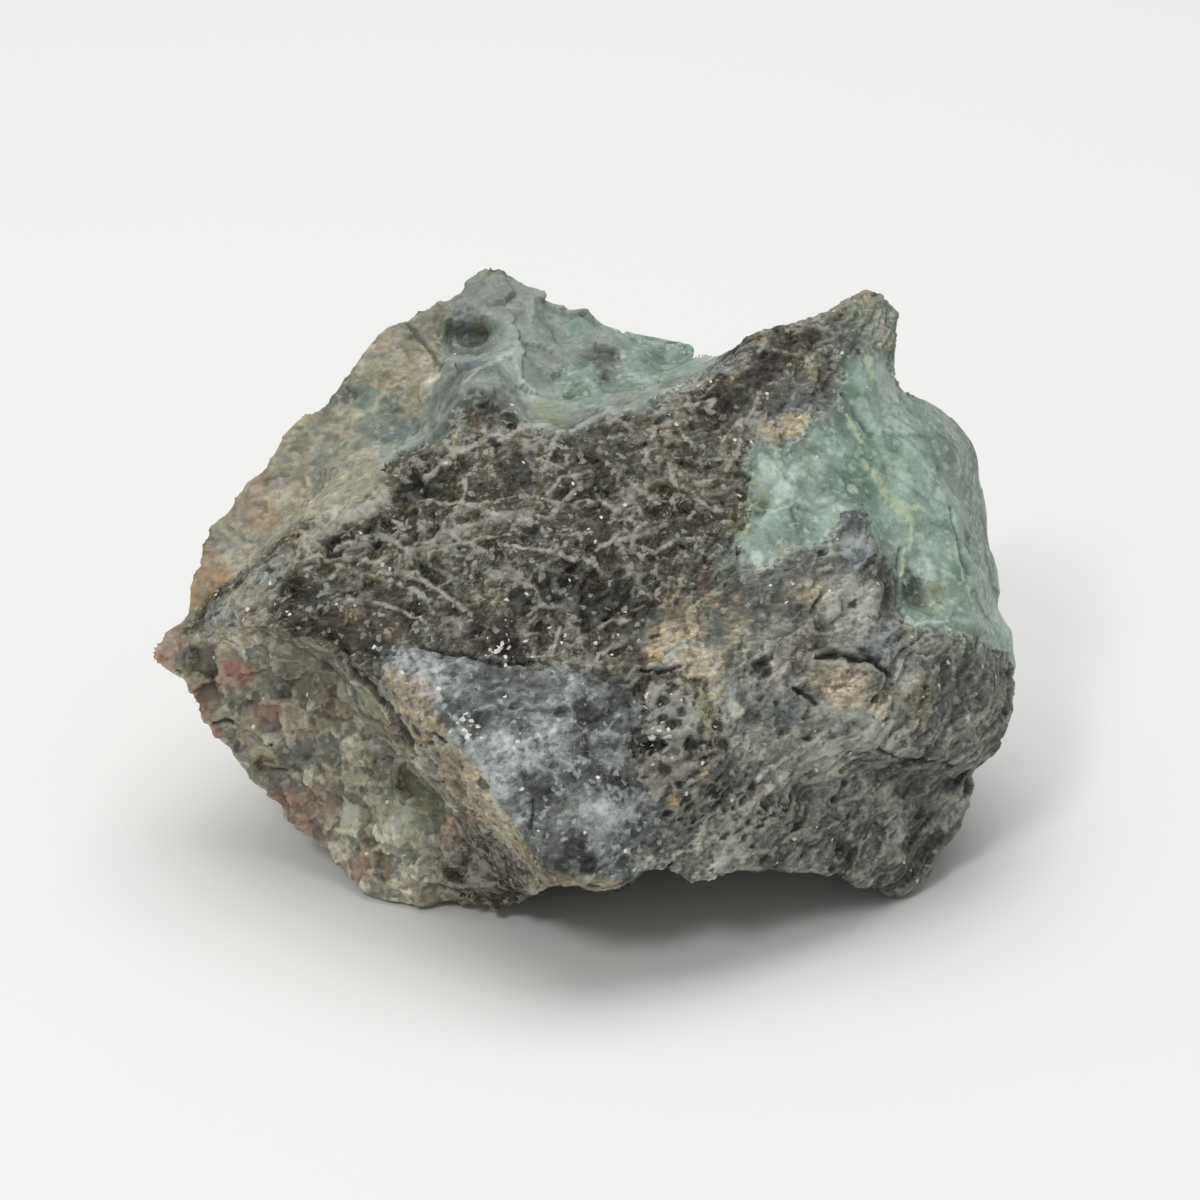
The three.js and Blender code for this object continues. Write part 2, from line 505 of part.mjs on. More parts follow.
// The closed solid that a mesh bounds
function solidOf(geometry) {
  const plain = geometry.clone();
  plain.deleteAttribute("normal");
  plain.deleteAttribute("uv");
  const merged = mergeVertices(plain, sameCorner);
  const vertProperties = new Float32Array(merged.attributes.position.array);
  const triVerts = new Uint32Array(merged.index.array);
  return new wasm.Manifold(new wasm.Mesh({ numProp: 3, vertProperties, triVerts }));
}

// Slices off what lies under the resting surface.
function rested(geometry) {
  const block = new THREE.BoxGeometry(cutterSize, cutterSize, cutterSize);
  const under = block.translate(0, 0, -cutterSize / 2);
  const { numProp, vertProperties, triVerts } = solidOf(geometry).subtract(solidOf(under)).getMesh();
  const places = vertProperties.filter((_, i) => i % numProp < 3);
  return new THREE.BufferGeometry()
    .setAttribute("position", new THREE.BufferAttribute(places, 3))
    .setIndex(new THREE.BufferAttribute(triVerts, 1));
}

// Puts the middle of the lump's box over the origin.
function centred(geometry) {
  geometry.computeBoundingBox();
  const middle = geometry.boundingBox.getCenter(new THREE.Vector3());
  return geometry.translate(-middle.x, -middle.y, 0);
}

// Every step of the making, from the landmarks to the finished mesh
function roughEmerald() {
  const geometry = centred(rested(geometryOf(weathered(refined(roughedOut())))));
  geometry.computeVertexNormals();
  const stone = new THREE.MeshStandardMaterial({ color: 0x5f6862, roughness: 0.6, flatShading: true });
  const mesh = new THREE.Mesh(geometry, stone);
  mesh.name = "rough_emerald";
  return mesh;
}

const lump = new THREE.Group();
lump.add(roughEmerald());

export default lump;
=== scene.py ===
# %% [markdown]
# A rough emerald in mica schist, dressed in Blender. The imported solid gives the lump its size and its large
# forms. This lesson copies that solid, gives it a much finer skin, breaks the skin the way each mineral
# really breaks, cuts it where one mineral meets the next, and gives every mineral a finish of its own.

# %% Load the frame
import math

import bpy
import numpy as np
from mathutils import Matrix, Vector


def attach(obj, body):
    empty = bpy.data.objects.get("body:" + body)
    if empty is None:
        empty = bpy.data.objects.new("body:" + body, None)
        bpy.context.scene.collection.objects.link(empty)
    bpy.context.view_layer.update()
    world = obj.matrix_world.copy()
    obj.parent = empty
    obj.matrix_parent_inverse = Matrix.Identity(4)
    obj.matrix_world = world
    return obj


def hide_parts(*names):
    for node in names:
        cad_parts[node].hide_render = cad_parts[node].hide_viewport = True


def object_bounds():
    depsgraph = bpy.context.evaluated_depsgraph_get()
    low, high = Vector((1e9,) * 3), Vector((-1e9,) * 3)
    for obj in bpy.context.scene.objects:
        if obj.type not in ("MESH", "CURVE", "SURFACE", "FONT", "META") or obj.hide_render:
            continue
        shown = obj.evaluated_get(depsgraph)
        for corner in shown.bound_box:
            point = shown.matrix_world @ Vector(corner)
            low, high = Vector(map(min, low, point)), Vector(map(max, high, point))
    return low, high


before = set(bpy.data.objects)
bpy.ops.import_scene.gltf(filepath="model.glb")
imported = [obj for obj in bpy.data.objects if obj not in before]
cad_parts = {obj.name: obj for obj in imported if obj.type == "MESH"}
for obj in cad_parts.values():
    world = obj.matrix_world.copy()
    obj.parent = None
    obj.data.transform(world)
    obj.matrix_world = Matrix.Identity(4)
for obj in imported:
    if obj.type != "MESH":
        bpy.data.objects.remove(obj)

STONE = "rough_emerald"
BODY = "root"
MM = 0.001
cad_box = [[float(v) for v in corner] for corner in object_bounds()]
print("solid's box in mm", [[round(v / MM, 2) for v in corner] for corner in cad_box])

# %% [markdown]
# The photograph looks down on the lump at 28 degrees from about 30 cm away. A surface point and a pixel of
# the 1200 pixel picture are tied by that view, so a place on the stone can be named by its pixel, and the
# same numbers set the camera.

# %% The line of sight
SIGHT_MIDDLE = np.array([0.873, -0.025, 15.4])
SIGHT_ELEVATION = math.radians(28)
SIGHT_DISTANCE = 300.0
PIXELS_PER_MM = 16.0
PHOTO_MIDDLE = 600.0
PHOTO_WIDTH_MM = 75.0
RIGHTWARD = np.array([1.0, 0.0, 0.0])
UPWARD = np.array([0.0, math.sin(SIGHT_ELEVATION), math.cos(SIGHT_ELEVATION)])
NEARWARD = np.array([0.0, -math.cos(SIGHT_ELEVATION), math.sin(SIGHT_ELEVATION)])
EYE = SIGHT_MIDDLE + NEARWARD * SIGHT_DISTANCE


def photographed(points):
    """Pixel columns and rows of points in mm, and how near each one is to the eye."""
    from_middle = points - SIGHT_MIDDLE
    nearness = from_middle @ NEARWARD
    spread = SIGHT_DISTANCE / (SIGHT_DISTANCE - nearness) * PIXELS_PER_MM
    columns = PHOTO_MIDDLE + from_middle @ RIGHTWARD * spread
    rows = PHOTO_MIDDLE - from_middle @ UPWARD * spread
    return columns, rows, nearness


print("eye in mm", EYE.round(1))

# %% [markdown]
# The camera stands on that line. A 36 mm sensor with a 144 mm lens sees 75 mm at 300 mm, which is the
# width of the photograph.

# %% Camera
SENSOR_MM = 36.0
camera_data = bpy.data.cameras.new("sight")
camera_data.sensor_width = SENSOR_MM
camera_data.lens = SENSOR_MM * SIGHT_DISTANCE / PHOTO_WIDTH_MM
camera = bpy.data.objects.new("sight", camera_data)
camera.location = Vector(EYE * MM)
camera.rotation_euler = Vector(-NEARWARD).to_track_quat("-Z", "Y").to_euler()
bpy.context.scene.collection.objects.link(camera)
bpy.context.scene.camera = camera
bpy.context.scene.view_settings.view_transform = "Standard"
print("lens", camera_data.lens, "mm")

# %% [markdown]
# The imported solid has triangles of 1 to 3 mm. A voxel remesh lays an even net of small squares over a copy
# of it, fine enough to carry the steps and flakes that the eye reads as broken rock.

# %% A fine skin over the solid
SKIN_STEP_MM = 0.17
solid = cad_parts[STONE]
blank = bpy.data.objects.new("blank", solid.data.copy())
blank.data.transform(solid.matrix_world)
bpy.context.scene.collection.objects.link(blank)
net = blank.modifiers.new("net", "REMESH")
net.mode = "VOXEL"
net.voxel_size = SKIN_STEP_MM * MM
netted = blank.evaluated_get(bpy.context.evaluated_depsgraph_get()).to_mesh()
point_count = len(netted.vertices)
square_count = len(netted.polygons)
skin = np.empty(point_count * 3, np.float64)
netted.vertices.foreach_get("co", skin)
skin = skin.reshape(-1, 3) / MM
squares = np.empty(square_count * 4, np.int32)
assert len(netted.loops) == square_count * 4
netted.loops.foreach_get("vertex_index", squares)
squares = squares.reshape(-1, 4)
bpy.data.objects.remove(blank)
print("skin of", point_count, "points and", square_count, "squares")

# %% [markdown]
# Two tools work on that skin. One gives the direction in which each point faces. The other draws every
# point towards the middle of its neighbours, which melts small edges.

# %% Facing and melting
sides = np.concatenate([squares[:, [0, 1]], squares[:, [1, 2]], squares[:, [2, 3]], squares[:, [3, 0]]])
neighbour_count = np.bincount(sides[:, 0], minlength=point_count)


def facing(points):
    """Unit normals of the skin's points."""
    diagonal_a = points[squares[:, 2]] - points[squares[:, 0]]
    diagonal_b = points[squares[:, 3]] - points[squares[:, 1]]
    square_normals = np.cross(diagonal_a, diagonal_b)
    total = np.empty_like(points)
    for axis in range(3):
        weights = np.repeat(square_normals[:, axis], 4)
        total[:, axis] = np.bincount(squares.ravel(), weights, minlength=point_count)
    return total / np.linalg.norm(total, axis=1, keepdims=True)


def melted(values, rounds):
    """Values of the points, each moved to the mean of its neighbours for some rounds."""
    values = values.copy()
    for _ in range(rounds):
        columns = values.reshape(point_count, -1)
        means = np.empty_like(columns)
        for axis in range(columns.shape[1]):
            summed = np.bincount(sides[:, 0], columns[sides[:, 1], axis], minlength=point_count)
            means[:, axis] = summed / neighbour_count
        values = means.reshape(values.shape)
    return values


# %% [markdown]
# The solid's own facets are flat triangles, which no rock has. A long melt rounds them off, but it would
# round the sharp crests too. So a point takes the long melt only where the two melts nearly agree, and
# keeps its place on crests, where they differ.

# %% Facets off, crests on
SHORT_MELT = 6
LONG_MELT = 34
CREST_MM = 0.25
crisp = melted(skin, SHORT_MELT)
soft = melted(skin, LONG_MELT)
apart = np.linalg.norm(crisp - soft, axis=1)
softness = np.exp(-((apart / CREST_MM) ** 2))
softness = melted(softness, SHORT_MELT)[:, None]
skin = crisp * (1 - softness) + soft * softness
outward = facing(skin)
print("points that kept their crest", int((softness < 0.5).sum()))

# %% [markdown]
# Rock is irregular at every scale. Three repeatable sources of chance give that: a random number for each
# cell of a lattice, smooth noise between the cells, and broken cells, where each point learns which crumb
# it belongs to, how that crumb is tilted and how close its border is.

# %% Chance
SALT_STEP = 7919
AXIS_STEPS = (73856093, 19349663, 83492791)
FIRST_STIR = 739982445
SECOND_STIR = 695872825
HASH_MASK = 0xFFFFFFFF
HASH_TOP = 2 ** 24


def drawn(cells, salt):
    """A repeatable random number from 0 to 1 for every lattice cell."""
    cells = cells.astype(np.int64)
    number = cells[..., 0] * AXIS_STEPS[0] ^ cells[..., 1] * AXIS_STEPS[1] ^ cells[..., 2] * AXIS_STEPS[2]
    number = (number ^ salt * SALT_STEP) & HASH_MASK
    number = ((number ^ number >> 15) * FIRST_STIR) & HASH_MASK
    number = ((number ^ number >> 12) * SECOND_STIR) & HASH_MASK
    number = number ^ number >> 15
    return (number & (HASH_TOP - 1)) / HASH_TOP


def rolling(points, period, salt):
    """Smooth noise from -1 to 1 that changes over about one period in mm."""
    place = points / period
    cell = np.floor(place)
    share = place - cell
    share = share * share * (3 - 2 * share)
    total = np.zeros(len(points))
    for corner in np.ndindex(2, 2, 2):
        weight = np.prod(np.where(corner, share, 1 - share), axis=1)
        total += weight * drawn(cell + corner, salt)
    return total * 2 - 1


def rugged(points, period, salt, layers=3):
    """Several rolling noises, each half as wide and half as high as the last."""
    total = np.zeros(len(points))
    for layer in range(layers):
        total += rolling(points, period / 2 ** layer, salt + layer) / 2 ** layer
    return total


def wandered(points, swing, period, salts):
    """Places shifted by rugged noise, by about the swing in mm each way."""
    return points + swing * np.stack([rugged(points, period, salt) for salt in salts], axis=1)


def crumbs(points, period, salt):
    """Each point's crumb: its random number, the height of its tilt there, and how far its border is."""
    place = points / period
    home = np.floor(place)
    nearest = np.full(len(points), np.inf)
    second = np.full(len(points), np.inf)
    number = np.zeros(len(points))
    offset = np.zeros_like(points)
    lean = np.zeros_like(points)
    for step in np.ndindex(3, 3, 3):
        cell = home + step - 1
        jitter = np.stack([drawn(cell, salt + k) for k in (1, 2, 3)], axis=1)
        away = place - cell - jitter
        distance = np.linalg.norm(away, axis=1)
        closer = distance < nearest
        second = np.where(closer, nearest, np.minimum(second, distance))
        nearest = np.where(closer, distance, nearest)
        number[closer] = drawn(cell[closer], salt + 4)
        offset[closer] = away[closer]
        tips = [drawn(cell[closer], salt + k) for k in (5, 6, 7)]
        lean[closer] = np.stack(tips, axis=1) * 2 - 1
    return number, (offset * lean).sum(axis=1) * period, second - nearest


def ramp(values, low, high):
    """0 at low, 1 at high, smooth between."""
    share = np.clip((values - low) / (high - low), 0, 1)
    return share * share * (3 - 2 * share)


CURL_STIR = 0.6
CURL_STIR_PERIOD = 1.2


def curls(points, period, thickness, salt):
    """Thin curved lines: the places where stirred rolling noise passes through zero."""
    stir = np.stack([rolling(points, period * CURL_STIR_PERIOD, salt + axis) for axis in (1, 2, 3)], axis=1)
    return np.exp(-(rolling(points + CURL_STIR * period * stir, period, salt) / thickness) ** 2)


print("a rolling sample", rolling(skin[:3], 2.0, 1).round(2))

# %% [markdown]
# Which points does the photograph see? A point is seen if it faces the eye and nothing lies in front of
# it. The picture is divided into small squares, and each square keeps the nearest point in it.

# %% What the photograph sees
BIN_PIXELS = 6.0
BINS_A_ROW = 1000
HIDDEN_BEHIND_MM = 0.9
SLANTED_ROOM_MM = 1.2
EDGE_ON = 0.02
columns, rows, nearness = photographed(skin)
bins = (np.floor(rows / BIN_PIXELS) * BINS_A_ROW + np.floor(columns / BIN_PIXELS)).astype(np.int64)
front = np.full(bins.max() + 1, -np.inf)
np.maximum.at(front, bins, nearness)
to_eye = EYE - skin
to_eye /= np.linalg.norm(to_eye, axis=1, keepdims=True)
turned = (outward * to_eye).sum(axis=1)
room = HIDDEN_BEHIND_MM + SLANTED_ROOM_MM * (1 - turned)
seen = (turned > EDGE_ON) & (nearness > front[bins] - room)
print("seen points", int(seen.sum()), "of", point_count)

# %% [markdown]
# Now the map of the minerals. Each outline runs round one mineral as the photograph shows it, in pixels.
# A little noise bends the outlines, because minerals grow into each other. What the photograph doesn't
# see takes the mineral of the nearest known place: a seen point, or one of a few places chosen on the
# back and underneath, as such a lump would have them.

# %% The map of the minerals
MICA, SLAB, BERYL, FELDSPAR, WEATHERED, BANDED, SOAPY = range(7)
MINERAL_COUNT = 7
OUTLINES = [
    (SOAPY, [(450, 305), (462, 285), (478, 266), (490, 254), (512, 254), (535, 272), (560, 286),
             (600, 300), (640, 315), (722, 342), (715, 362), (690, 385), (660, 398), (636, 408),
             (612, 413), (590, 419), (570, 430), (552, 432), (530, 424), (515, 408), (500, 398),
             (485, 390), (468, 392), (456, 412), (440, 436), (420, 448), (380, 462), (372, 452),
             (385, 440), (410, 425), (430, 405), (442, 385), (440, 365), (436, 345), (445, 330)]),
    (WEATHERED, [(120, 650), (130, 600), (190, 480), (290, 385), (380, 300), (440, 262), (462, 285),
                 (450, 305), (445, 330), (436, 345), (440, 365), (442, 385), (430, 405), (410, 425),
                 (385, 440), (372, 452), (380, 462), (388, 475), (375, 494), (345, 506), (320, 508),
                 (300, 522), (270, 545), (240, 575), (195, 615), (165, 640)]),
    (FELDSPAR, [(120, 640), (165, 640), (200, 630), (240, 627), (290, 632), (328, 646), (350, 668),
                (375, 692), (400, 724), (430, 762), (470, 812), (505, 848), (545, 892), (545, 930),
                (300, 930), (150, 760)]),
    (MICA, [(430, 862), (445, 845), (470, 830), (505, 848), (532, 878), (520, 900), (480, 905),
            (445, 885)]),
    (SLAB, [(383, 666), (395, 655), (415, 648), (450, 652), (480, 660), (520, 664), (555, 668),
            (590, 676), (625, 690), (640, 705), (630, 740), (640, 780), (655, 810), (662, 850),
            (650, 900), (600, 915), (547, 900), (530, 878), (505, 845), (470, 808), (430, 760),
            (400, 722), (390, 698)]),
    (BANDED, [(725, 545), (738, 548), (742, 560), (755, 570), (775, 565), (790, 552), (812, 550),
              (830, 545), (842, 525), (848, 508), (865, 503), (870, 530), (890, 560), (897, 600),
              (905, 622), (940, 628), (985, 640), (1000, 652), (1012, 670), (1040, 700), (1020, 780),
              (990, 880), (940, 930), (800, 900), (690, 915), (650, 900), (662, 850), (655, 810),
              (668, 780), (706, 776), (716, 740), (715, 700), (700, 682), (680, 676), (650, 668),
              (640, 650), (645, 620), (665, 600), (690, 588), (712, 560)]),
    (BANDED, [(812, 318), (830, 298), (850, 280), (880, 275), (900, 290), (910, 325), (900, 352),
              (896, 372), (888, 350), (852, 353), (845, 375), (838, 398), (825, 408), (812, 425),
              (800, 440), (785, 447), (770, 440), (757, 443), (754, 420), (770, 398), (788, 384),
              (800, 368), (812, 350), (822, 338)]),
    (BERYL, [(845, 375), (852, 353), (888, 350), (892, 380), (905, 392), (940, 398), (962, 415),
             (980, 436), (990, 470), (995, 500), (1000, 530), (1008, 560), (1014, 590), (1030, 615),
             (1030, 660), (1012, 676), (1000, 652), (985, 640), (965, 632), (940, 628), (905, 622),
             (897, 600), (890, 560), (870, 530), (865, 503), (848, 508), (842, 525), (830, 545),
             (812, 550), (790, 552), (775, 565), (755, 570), (742, 560), (738, 545), (748, 515),
             (752, 490), (751, 460), (757, 443), (770, 440), (785, 447), (800, 440), (812, 425),
             (825, 408), (838, 398)]),
    (BERYL, [(588, 316), (600, 300), (625, 305), (660, 320), (722, 342), (716, 356), (700, 368),
             (672, 378), (655, 390), (630, 392), (612, 388), (618, 372), (625, 350), (605, 340)]),
    (BERYL, [(562, 375), (575, 362), (592, 368), (602, 382), (598, 398), (580, 405), (565, 395)]),
]
UNSEEN_PLACES = [
    (WEATHERED, (-19, 9, 12)), (WEATHERED, (-12, 16, 14)), (FELDSPAR, (-15, 12, 4)),
    (FELDSPAR, (-9, -4, 0)), (WEATHERED, (-6, 19, 8)), (BANDED, (1, 20, 10)), (SOAPY, (0, 15, 20)),
    (SOAPY, (7, 18, 14)), (MICA, (9, 19, 5)), (BERYL, (15, 14, 16)), (BERYL, (20, 8, 14)),
    (BANDED, (17, 15, 6)), (BANDED, (24, 5, 5)), (MICA, (6, -6, 2)), (BANDED, (16, -6, 2)),
    (MICA, (2, 8, 0)), (BANDED, (14, 6, 0)), (MICA, (-2, -12, 5)),
]
EDGE_WANDER_PIXELS = 7.0
EDGE_WANDER_MM = 1.8
FRINGE_PIXELS = 5.0
FRINGE_MM = 0.5
UNSEEN_WANDER_MM = 1.6
UNSEEN_PERIOD_MM = 3.0
WELL_FACING = 0.15
KNOWN_EVERY = 160
BATCH = 4000


def bent(pixels, salt):
    """Pixel columns or rows, bent by wide noise and frayed by fine noise."""
    wide = EDGE_WANDER_PIXELS * rugged(skin, EDGE_WANDER_MM, salt)
    return pixels + wide + FRINGE_PIXELS * rugged(skin, FRINGE_MM, salt + 3)


def enclosed(x, y, outline):
    """Which pixel places lie inside an outline."""
    inside = np.zeros(len(x), bool)
    for (ax, ay), (bx, by) in zip(outline, outline[1:] + outline[:1]):
        if ay == by:
            continue
        crossing = ((ay > y) != (by > y)) & (x < (bx - ax) * (y - ay) / (by - ay) + ax)
        inside ^= crossing
    return inside


def nearest_of(points, places):
    """For each point, the number of the nearest place."""
    answer = np.empty(len(points), np.int64)
    for start in range(0, len(points), BATCH):
        part = points[start:start + BATCH]
        answer[start:start + BATCH] = ((part[:, None] - places[None]) ** 2).sum(axis=2).argmin(axis=1)
    return answer


wandering_columns = bent(columns, 11)
wandering_rows = bent(rows, 21)
mineral = np.full(point_count, MICA)
for kind, outline in OUTLINES:
    mineral[enclosed(wandering_columns, wandering_rows, outline)] = kind
known = np.flatnonzero(seen & (turned > WELL_FACING))[::KNOWN_EVERY]
places = np.concatenate([skin[known], np.array([place for _, place in UNSEEN_PLACES], float)])
kinds = np.concatenate([mineral[known], [kind for kind, _ in UNSEEN_PLACES]])
unseen = np.flatnonzero(~seen)
astray = wandered(skin[unseen], UNSEEN_WANDER_MM, UNSEEN_PERIOD_MM, (31, 41, 51))
mineral[unseen] = kinds[nearest_of(astray, places)]
for kind in range(MINERAL_COUNT):
    print("mineral", kind, "has", int((mineral == kind).sum()), "points")

# %% [markdown]
# Single features are placed one by one, from the photograph: spots of a colour, pale wisps, dark cracks. A
# spot is a pixel place, a radius in mm and a strength. It sits on the skin at that pixel and fades with
# real distance, so it wraps over an edge as a stain does. A stroke follows a line of pixels.

# %% How spots and strokes are laid
SPOT_CORE = 0.55
SPOT_RIM = 1.25
SPOT_FRAY = 0.45
SPOT_FRAY_MM = 0.9
STROKE_CORE = 0.2
STROKE_RIM = 1.6
STROKE_SHAKE_PIXELS = 2.5
STROKE_SHAKE_MM = 0.7


def distance_from(x, y):
    """Every point's distance in mm from the seen point at a pixel."""
    off = np.where(seen, (columns - x) ** 2 + (rows - y) ** 2, np.inf)
    return np.linalg.norm(skin - skin[off.argmin()], axis=1)


def spots(listed, salt):
    """How strongly each point is covered by a list of spots."""
    cover = np.zeros(point_count)
    ragged = 1 + SPOT_FRAY * rugged(skin, SPOT_FRAY_MM, salt)
    for x, y, radius, strength in listed:
        distance = distance_from(x, y) * ragged
        cover = np.maximum(cover, strength * (1 - ramp(distance, radius * SPOT_CORE, radius * SPOT_RIM)))
    return cover


def strokes(listed, salt):
    """How strongly each seen point is covered by strokes: lines of pixels with a half width in mm."""
    cover = np.zeros(point_count)
    x = columns + STROKE_SHAKE_PIXELS * rolling(skin, STROKE_SHAKE_MM, salt)
    y = rows + STROKE_SHAKE_PIXELS * rolling(skin, STROKE_SHAKE_MM, salt + 1)
    for half_width, line in listed:
        for (ax, ay), (bx, by) in zip(line, line[1:]):
            along = ((x - ax) * (bx - ax) + (y - ay) * (by - ay)) / ((bx - ax) ** 2 + (by - ay) ** 2)
            along = np.clip(along, 0, 1)
            off = np.hypot(x - ax - along * (bx - ax), y - ay - along * (by - ay)) / PIXELS_PER_MM
            cover = np.maximum(cover, 1 - ramp(off, half_width * STROKE_CORE, half_width * STROKE_RIM))
    return cover * seen


def told(name, cover):
    """The cover again, after saying how much of the skin it reaches."""
    print(name, "covers", int((cover > 0.3).sum()), "points")
    return cover


print("a spot fades between", SPOT_CORE, "and", SPOT_RIM, "of its radius")

# %% [markdown]
# Iron has stained the rock: rust ochre where water ran and evaporated, flesh pink where it sits in the
# feldspar.

# %% Rust and pink
OCHRE_SPOTS = [
    (662, 632, 1.2, 0.6), (652, 652, 0.9, 1), (690, 622, 1.4, 0.5), (700, 662, 1.5, 0.4),
    (735, 625, 1.2, 0.35), (200, 590, 1.5, 0.7), (216, 578, 1.2, 0.8), (205, 558, 1.1, 0.5),
    (265, 520, 1.2, 0.5), (232, 598, 1, 0.5), (300, 540, 1.1, 0.4), (860, 290, 1.3, 0.45),
    (866, 308, 1.2, 0.3), (830, 300, 1, 0.35), (888, 340, 0.8, 0.5), (793, 425, 1, 0.55),
    (775, 432, 0.8, 0.5), (815, 370, 1, 0.3), (672, 606, 1, 0.7), (715, 600, 0.9, 0.5),
    (735, 597, 0.8, 0.4), (780, 550, 0.5, 0.9), (850, 690, 1.2, 0.55), (875, 702, 1, 0.4),
    (650, 386, 1, 0.7), (420, 420, 1, 0.4), (395, 440, 0.8, 0.4), (355, 620, 0.8, 0.5),
    (560, 800, 0.7, 0.3), (920, 700, 1.5, 0.3), (825, 672, 1.4, 0.35), (700, 770, 0.5, 0.7),
    (430, 735, 0.8, 0.5), (395, 745, 0.9, 0.4), (670, 800, 0.4, 0.7), (482, 325, 0.5, 0.7),
    (489, 272, 0.8, 0.5), (384, 380, 0.8, 0.4), (372, 345, 1, 0.3), (630, 398, 0.9, 0.45),
    (810, 590, 1.3, 0.35), (330, 775, 1.2, 0.4), (560, 885, 0.9, 0.4),
]
PINK_SPOTS = [
    (152, 652, 1.4, 0.7), (168, 645, 1.2, 0.5), (238, 668, 0.9, 1), (228, 678, 0.8, 0.7),
    (266, 712, 0.9, 0.7), (205, 700, 1.2, 0.45), (213, 736, 0.8, 0.7), (277, 800, 1.1, 0.7),
    (300, 816, 1, 0.5), (328, 802, 0.9, 0.5), (470, 812, 0.8, 0.8), (454, 830, 1.2, 0.5),
    (482, 806, 0.6, 0.6), (425, 690, 0.8, 0.8), (412, 680, 0.6, 0.5), (255, 475, 1, 0.55),
    (268, 482, 0.8, 0.4), (232, 500, 1.2, 0.35), (353, 870, 1, 0.4), (705, 572, 0.6, 0.5),
    (700, 588, 0.8, 0.5), (423, 732, 0.6, 0.45), (175, 625, 0.9, 0.4), (305, 560, 1, 0.3),
    (340, 435, 0.9, 0.3),
]
ochre = told("ochre", spots(OCHRE_SPOTS, 61))
pink = told("pink", spots(PINK_SPOTS, 64))

# %% [markdown]
# Greens come from two minerals: olive and bright green films of chlorite, and deep green windows where
# clear beryl lies under the surface. Some deep green spots are painted shade instead: in hollows, in the
# emerald's pit and at the foot of a knob. Blue-grey places are clean mica or shaded beryl.

# %% Greens and blue-grey
OLIVE_SPOTS = [
    (745, 505, 0.7, 0.9), (740, 530, 0.7, 0.9), (750, 480, 0.5, 0.8), (190, 600, 0.9, 0.5),
    (380, 390, 2, 0.5), (400, 400, 1.5, 0.5), (300, 420, 1, 0.5), (380, 720, 1.4, 0.6),
    (360, 690, 1.3, 0.6), (255, 755, 1, 0.5), (545, 410, 1.5, 0.6), (560, 420, 1, 0.6),
    (690, 650, 1.3, 0.4), (700, 702, 1.4, 0.7), (690, 722, 1, 0.6), (930, 605, 1, 1),
    (935, 590, 0.7, 0.8), (760, 505, 0.8, 0.8), (455, 440, 0.6, 0.7), (450, 495, 0.8, 0.5),
    (645, 858, 1, 0.5), (805, 360, 0.8, 0.3), (740, 660, 1, 0.3), (960, 605, 0.7, 0.5),
    (550, 875, 0.8, 0.4),
]
# Deep green windows in the beryl, and painted shade in hollows and pits.
DEEP_GREEN_AND_PAINTED_SHADE_SPOTS = [
    (910, 592, 1.0, 1), (760, 507, 0.7, 0.6), (580, 388, 0.8, 0.7), (850, 395, 0.8, 0.4),
    (579, 327, 0.7, 0.5), (400, 430, 1.6, 0.9), (375, 425, 1.5, 0.8), (365, 398, 1.3, 0.8),
    (340, 392, 1.1, 0.7), (671, 344, 0.5, 0.9), (395, 320, 0.8, 0.5), (297, 755, 0.7, 0.6),
    (985, 640, 1, 0.6), (567, 396, 0.5, 1), (647, 339, 0.9, 0.4), (390, 410, 1.2, 0.8),
    (437, 800, 0.9, 0.8), (300, 440, 0.9, 0.4), (280, 480, 0.8, 0.4), (340, 470, 0.9, 0.35),
]
GREEN_SPOTS = [
    (410, 790, 2.2, 0.5), (395, 820, 2, 0.5), (360, 700, 1.6, 0.3), (345, 815, 1, 0.4),
    (735, 560, 1.4, 0.6), (722, 590, 1, 0.4), (770, 560, 1.2, 0.5), (862, 314, 1.4, 0.6),
    (848, 300, 1, 0.4), (870, 335, 1.2, 0.5), (893, 308, 1.3, 1), (897, 332, 1.3, 1), (885, 290, 1, 0.9),
    (893, 355, 1.2, 0.7), (650, 340, 1.2, 0.8), (579, 327, 1, 0.6), (582, 388, 1, 0.9),
    (640, 372, 1.2, 0.6), (683, 361, 1, 0.6), (965, 640, 1.2, 0.5), (1000, 655, 1, 0.7),
    (760, 540, 1, 0.5), (800, 548, 0.9, 0.4), (742, 500, 0.6, 0.5), (560, 410, 1, 0.4),
    (1000, 700, 0.9, 0.3), (940, 470, 1, 0.4), (700, 365, 1, 0.5), (480, 262, 0.8, 0.3),
]
BLUE_SPOTS = [
    (675, 715, 1.8, 0.5), (220, 610, 1.4, 0.4), (857, 522, 1.1, 0.7), (860, 550, 1.1, 0.7),
    (890, 640, 1.4, 0.6), (560, 600, 1.2, 0.4), (190, 655, 1, 0.6), (297, 755, 0.9, 0.6),
    (310, 750, 0.9, 0.6), (400, 435, 1.2, 0.5), (790, 715, 0.9, 0.5), (905, 790, 1.6, 0.5),
    (722, 366, 1.1, 0.9), (440, 385, 0.9, 0.5), (800, 405, 1.1, 0.4), (960, 420, 1.4, 0.4),
    (230, 610, 1.2, 0.5), (477, 366, 0.9, 0.8), (460, 320, 0.7, 0.5), (270, 575, 1, 0.5),
    (330, 490, 0.9, 0.5), (395, 860, 0.8, 0.5),
]
olive = told("olive", spots(OLIVE_SPOTS, 67))
deep_green_and_painted_shade = told("deep green", spots(DEEP_GREEN_AND_PAINTED_SHADE_SPOTS, 70))
green = told("green", spots(GREEN_SPOTS, 96))
blue = told("blue-grey", spots(BLUE_SPOTS, 79))
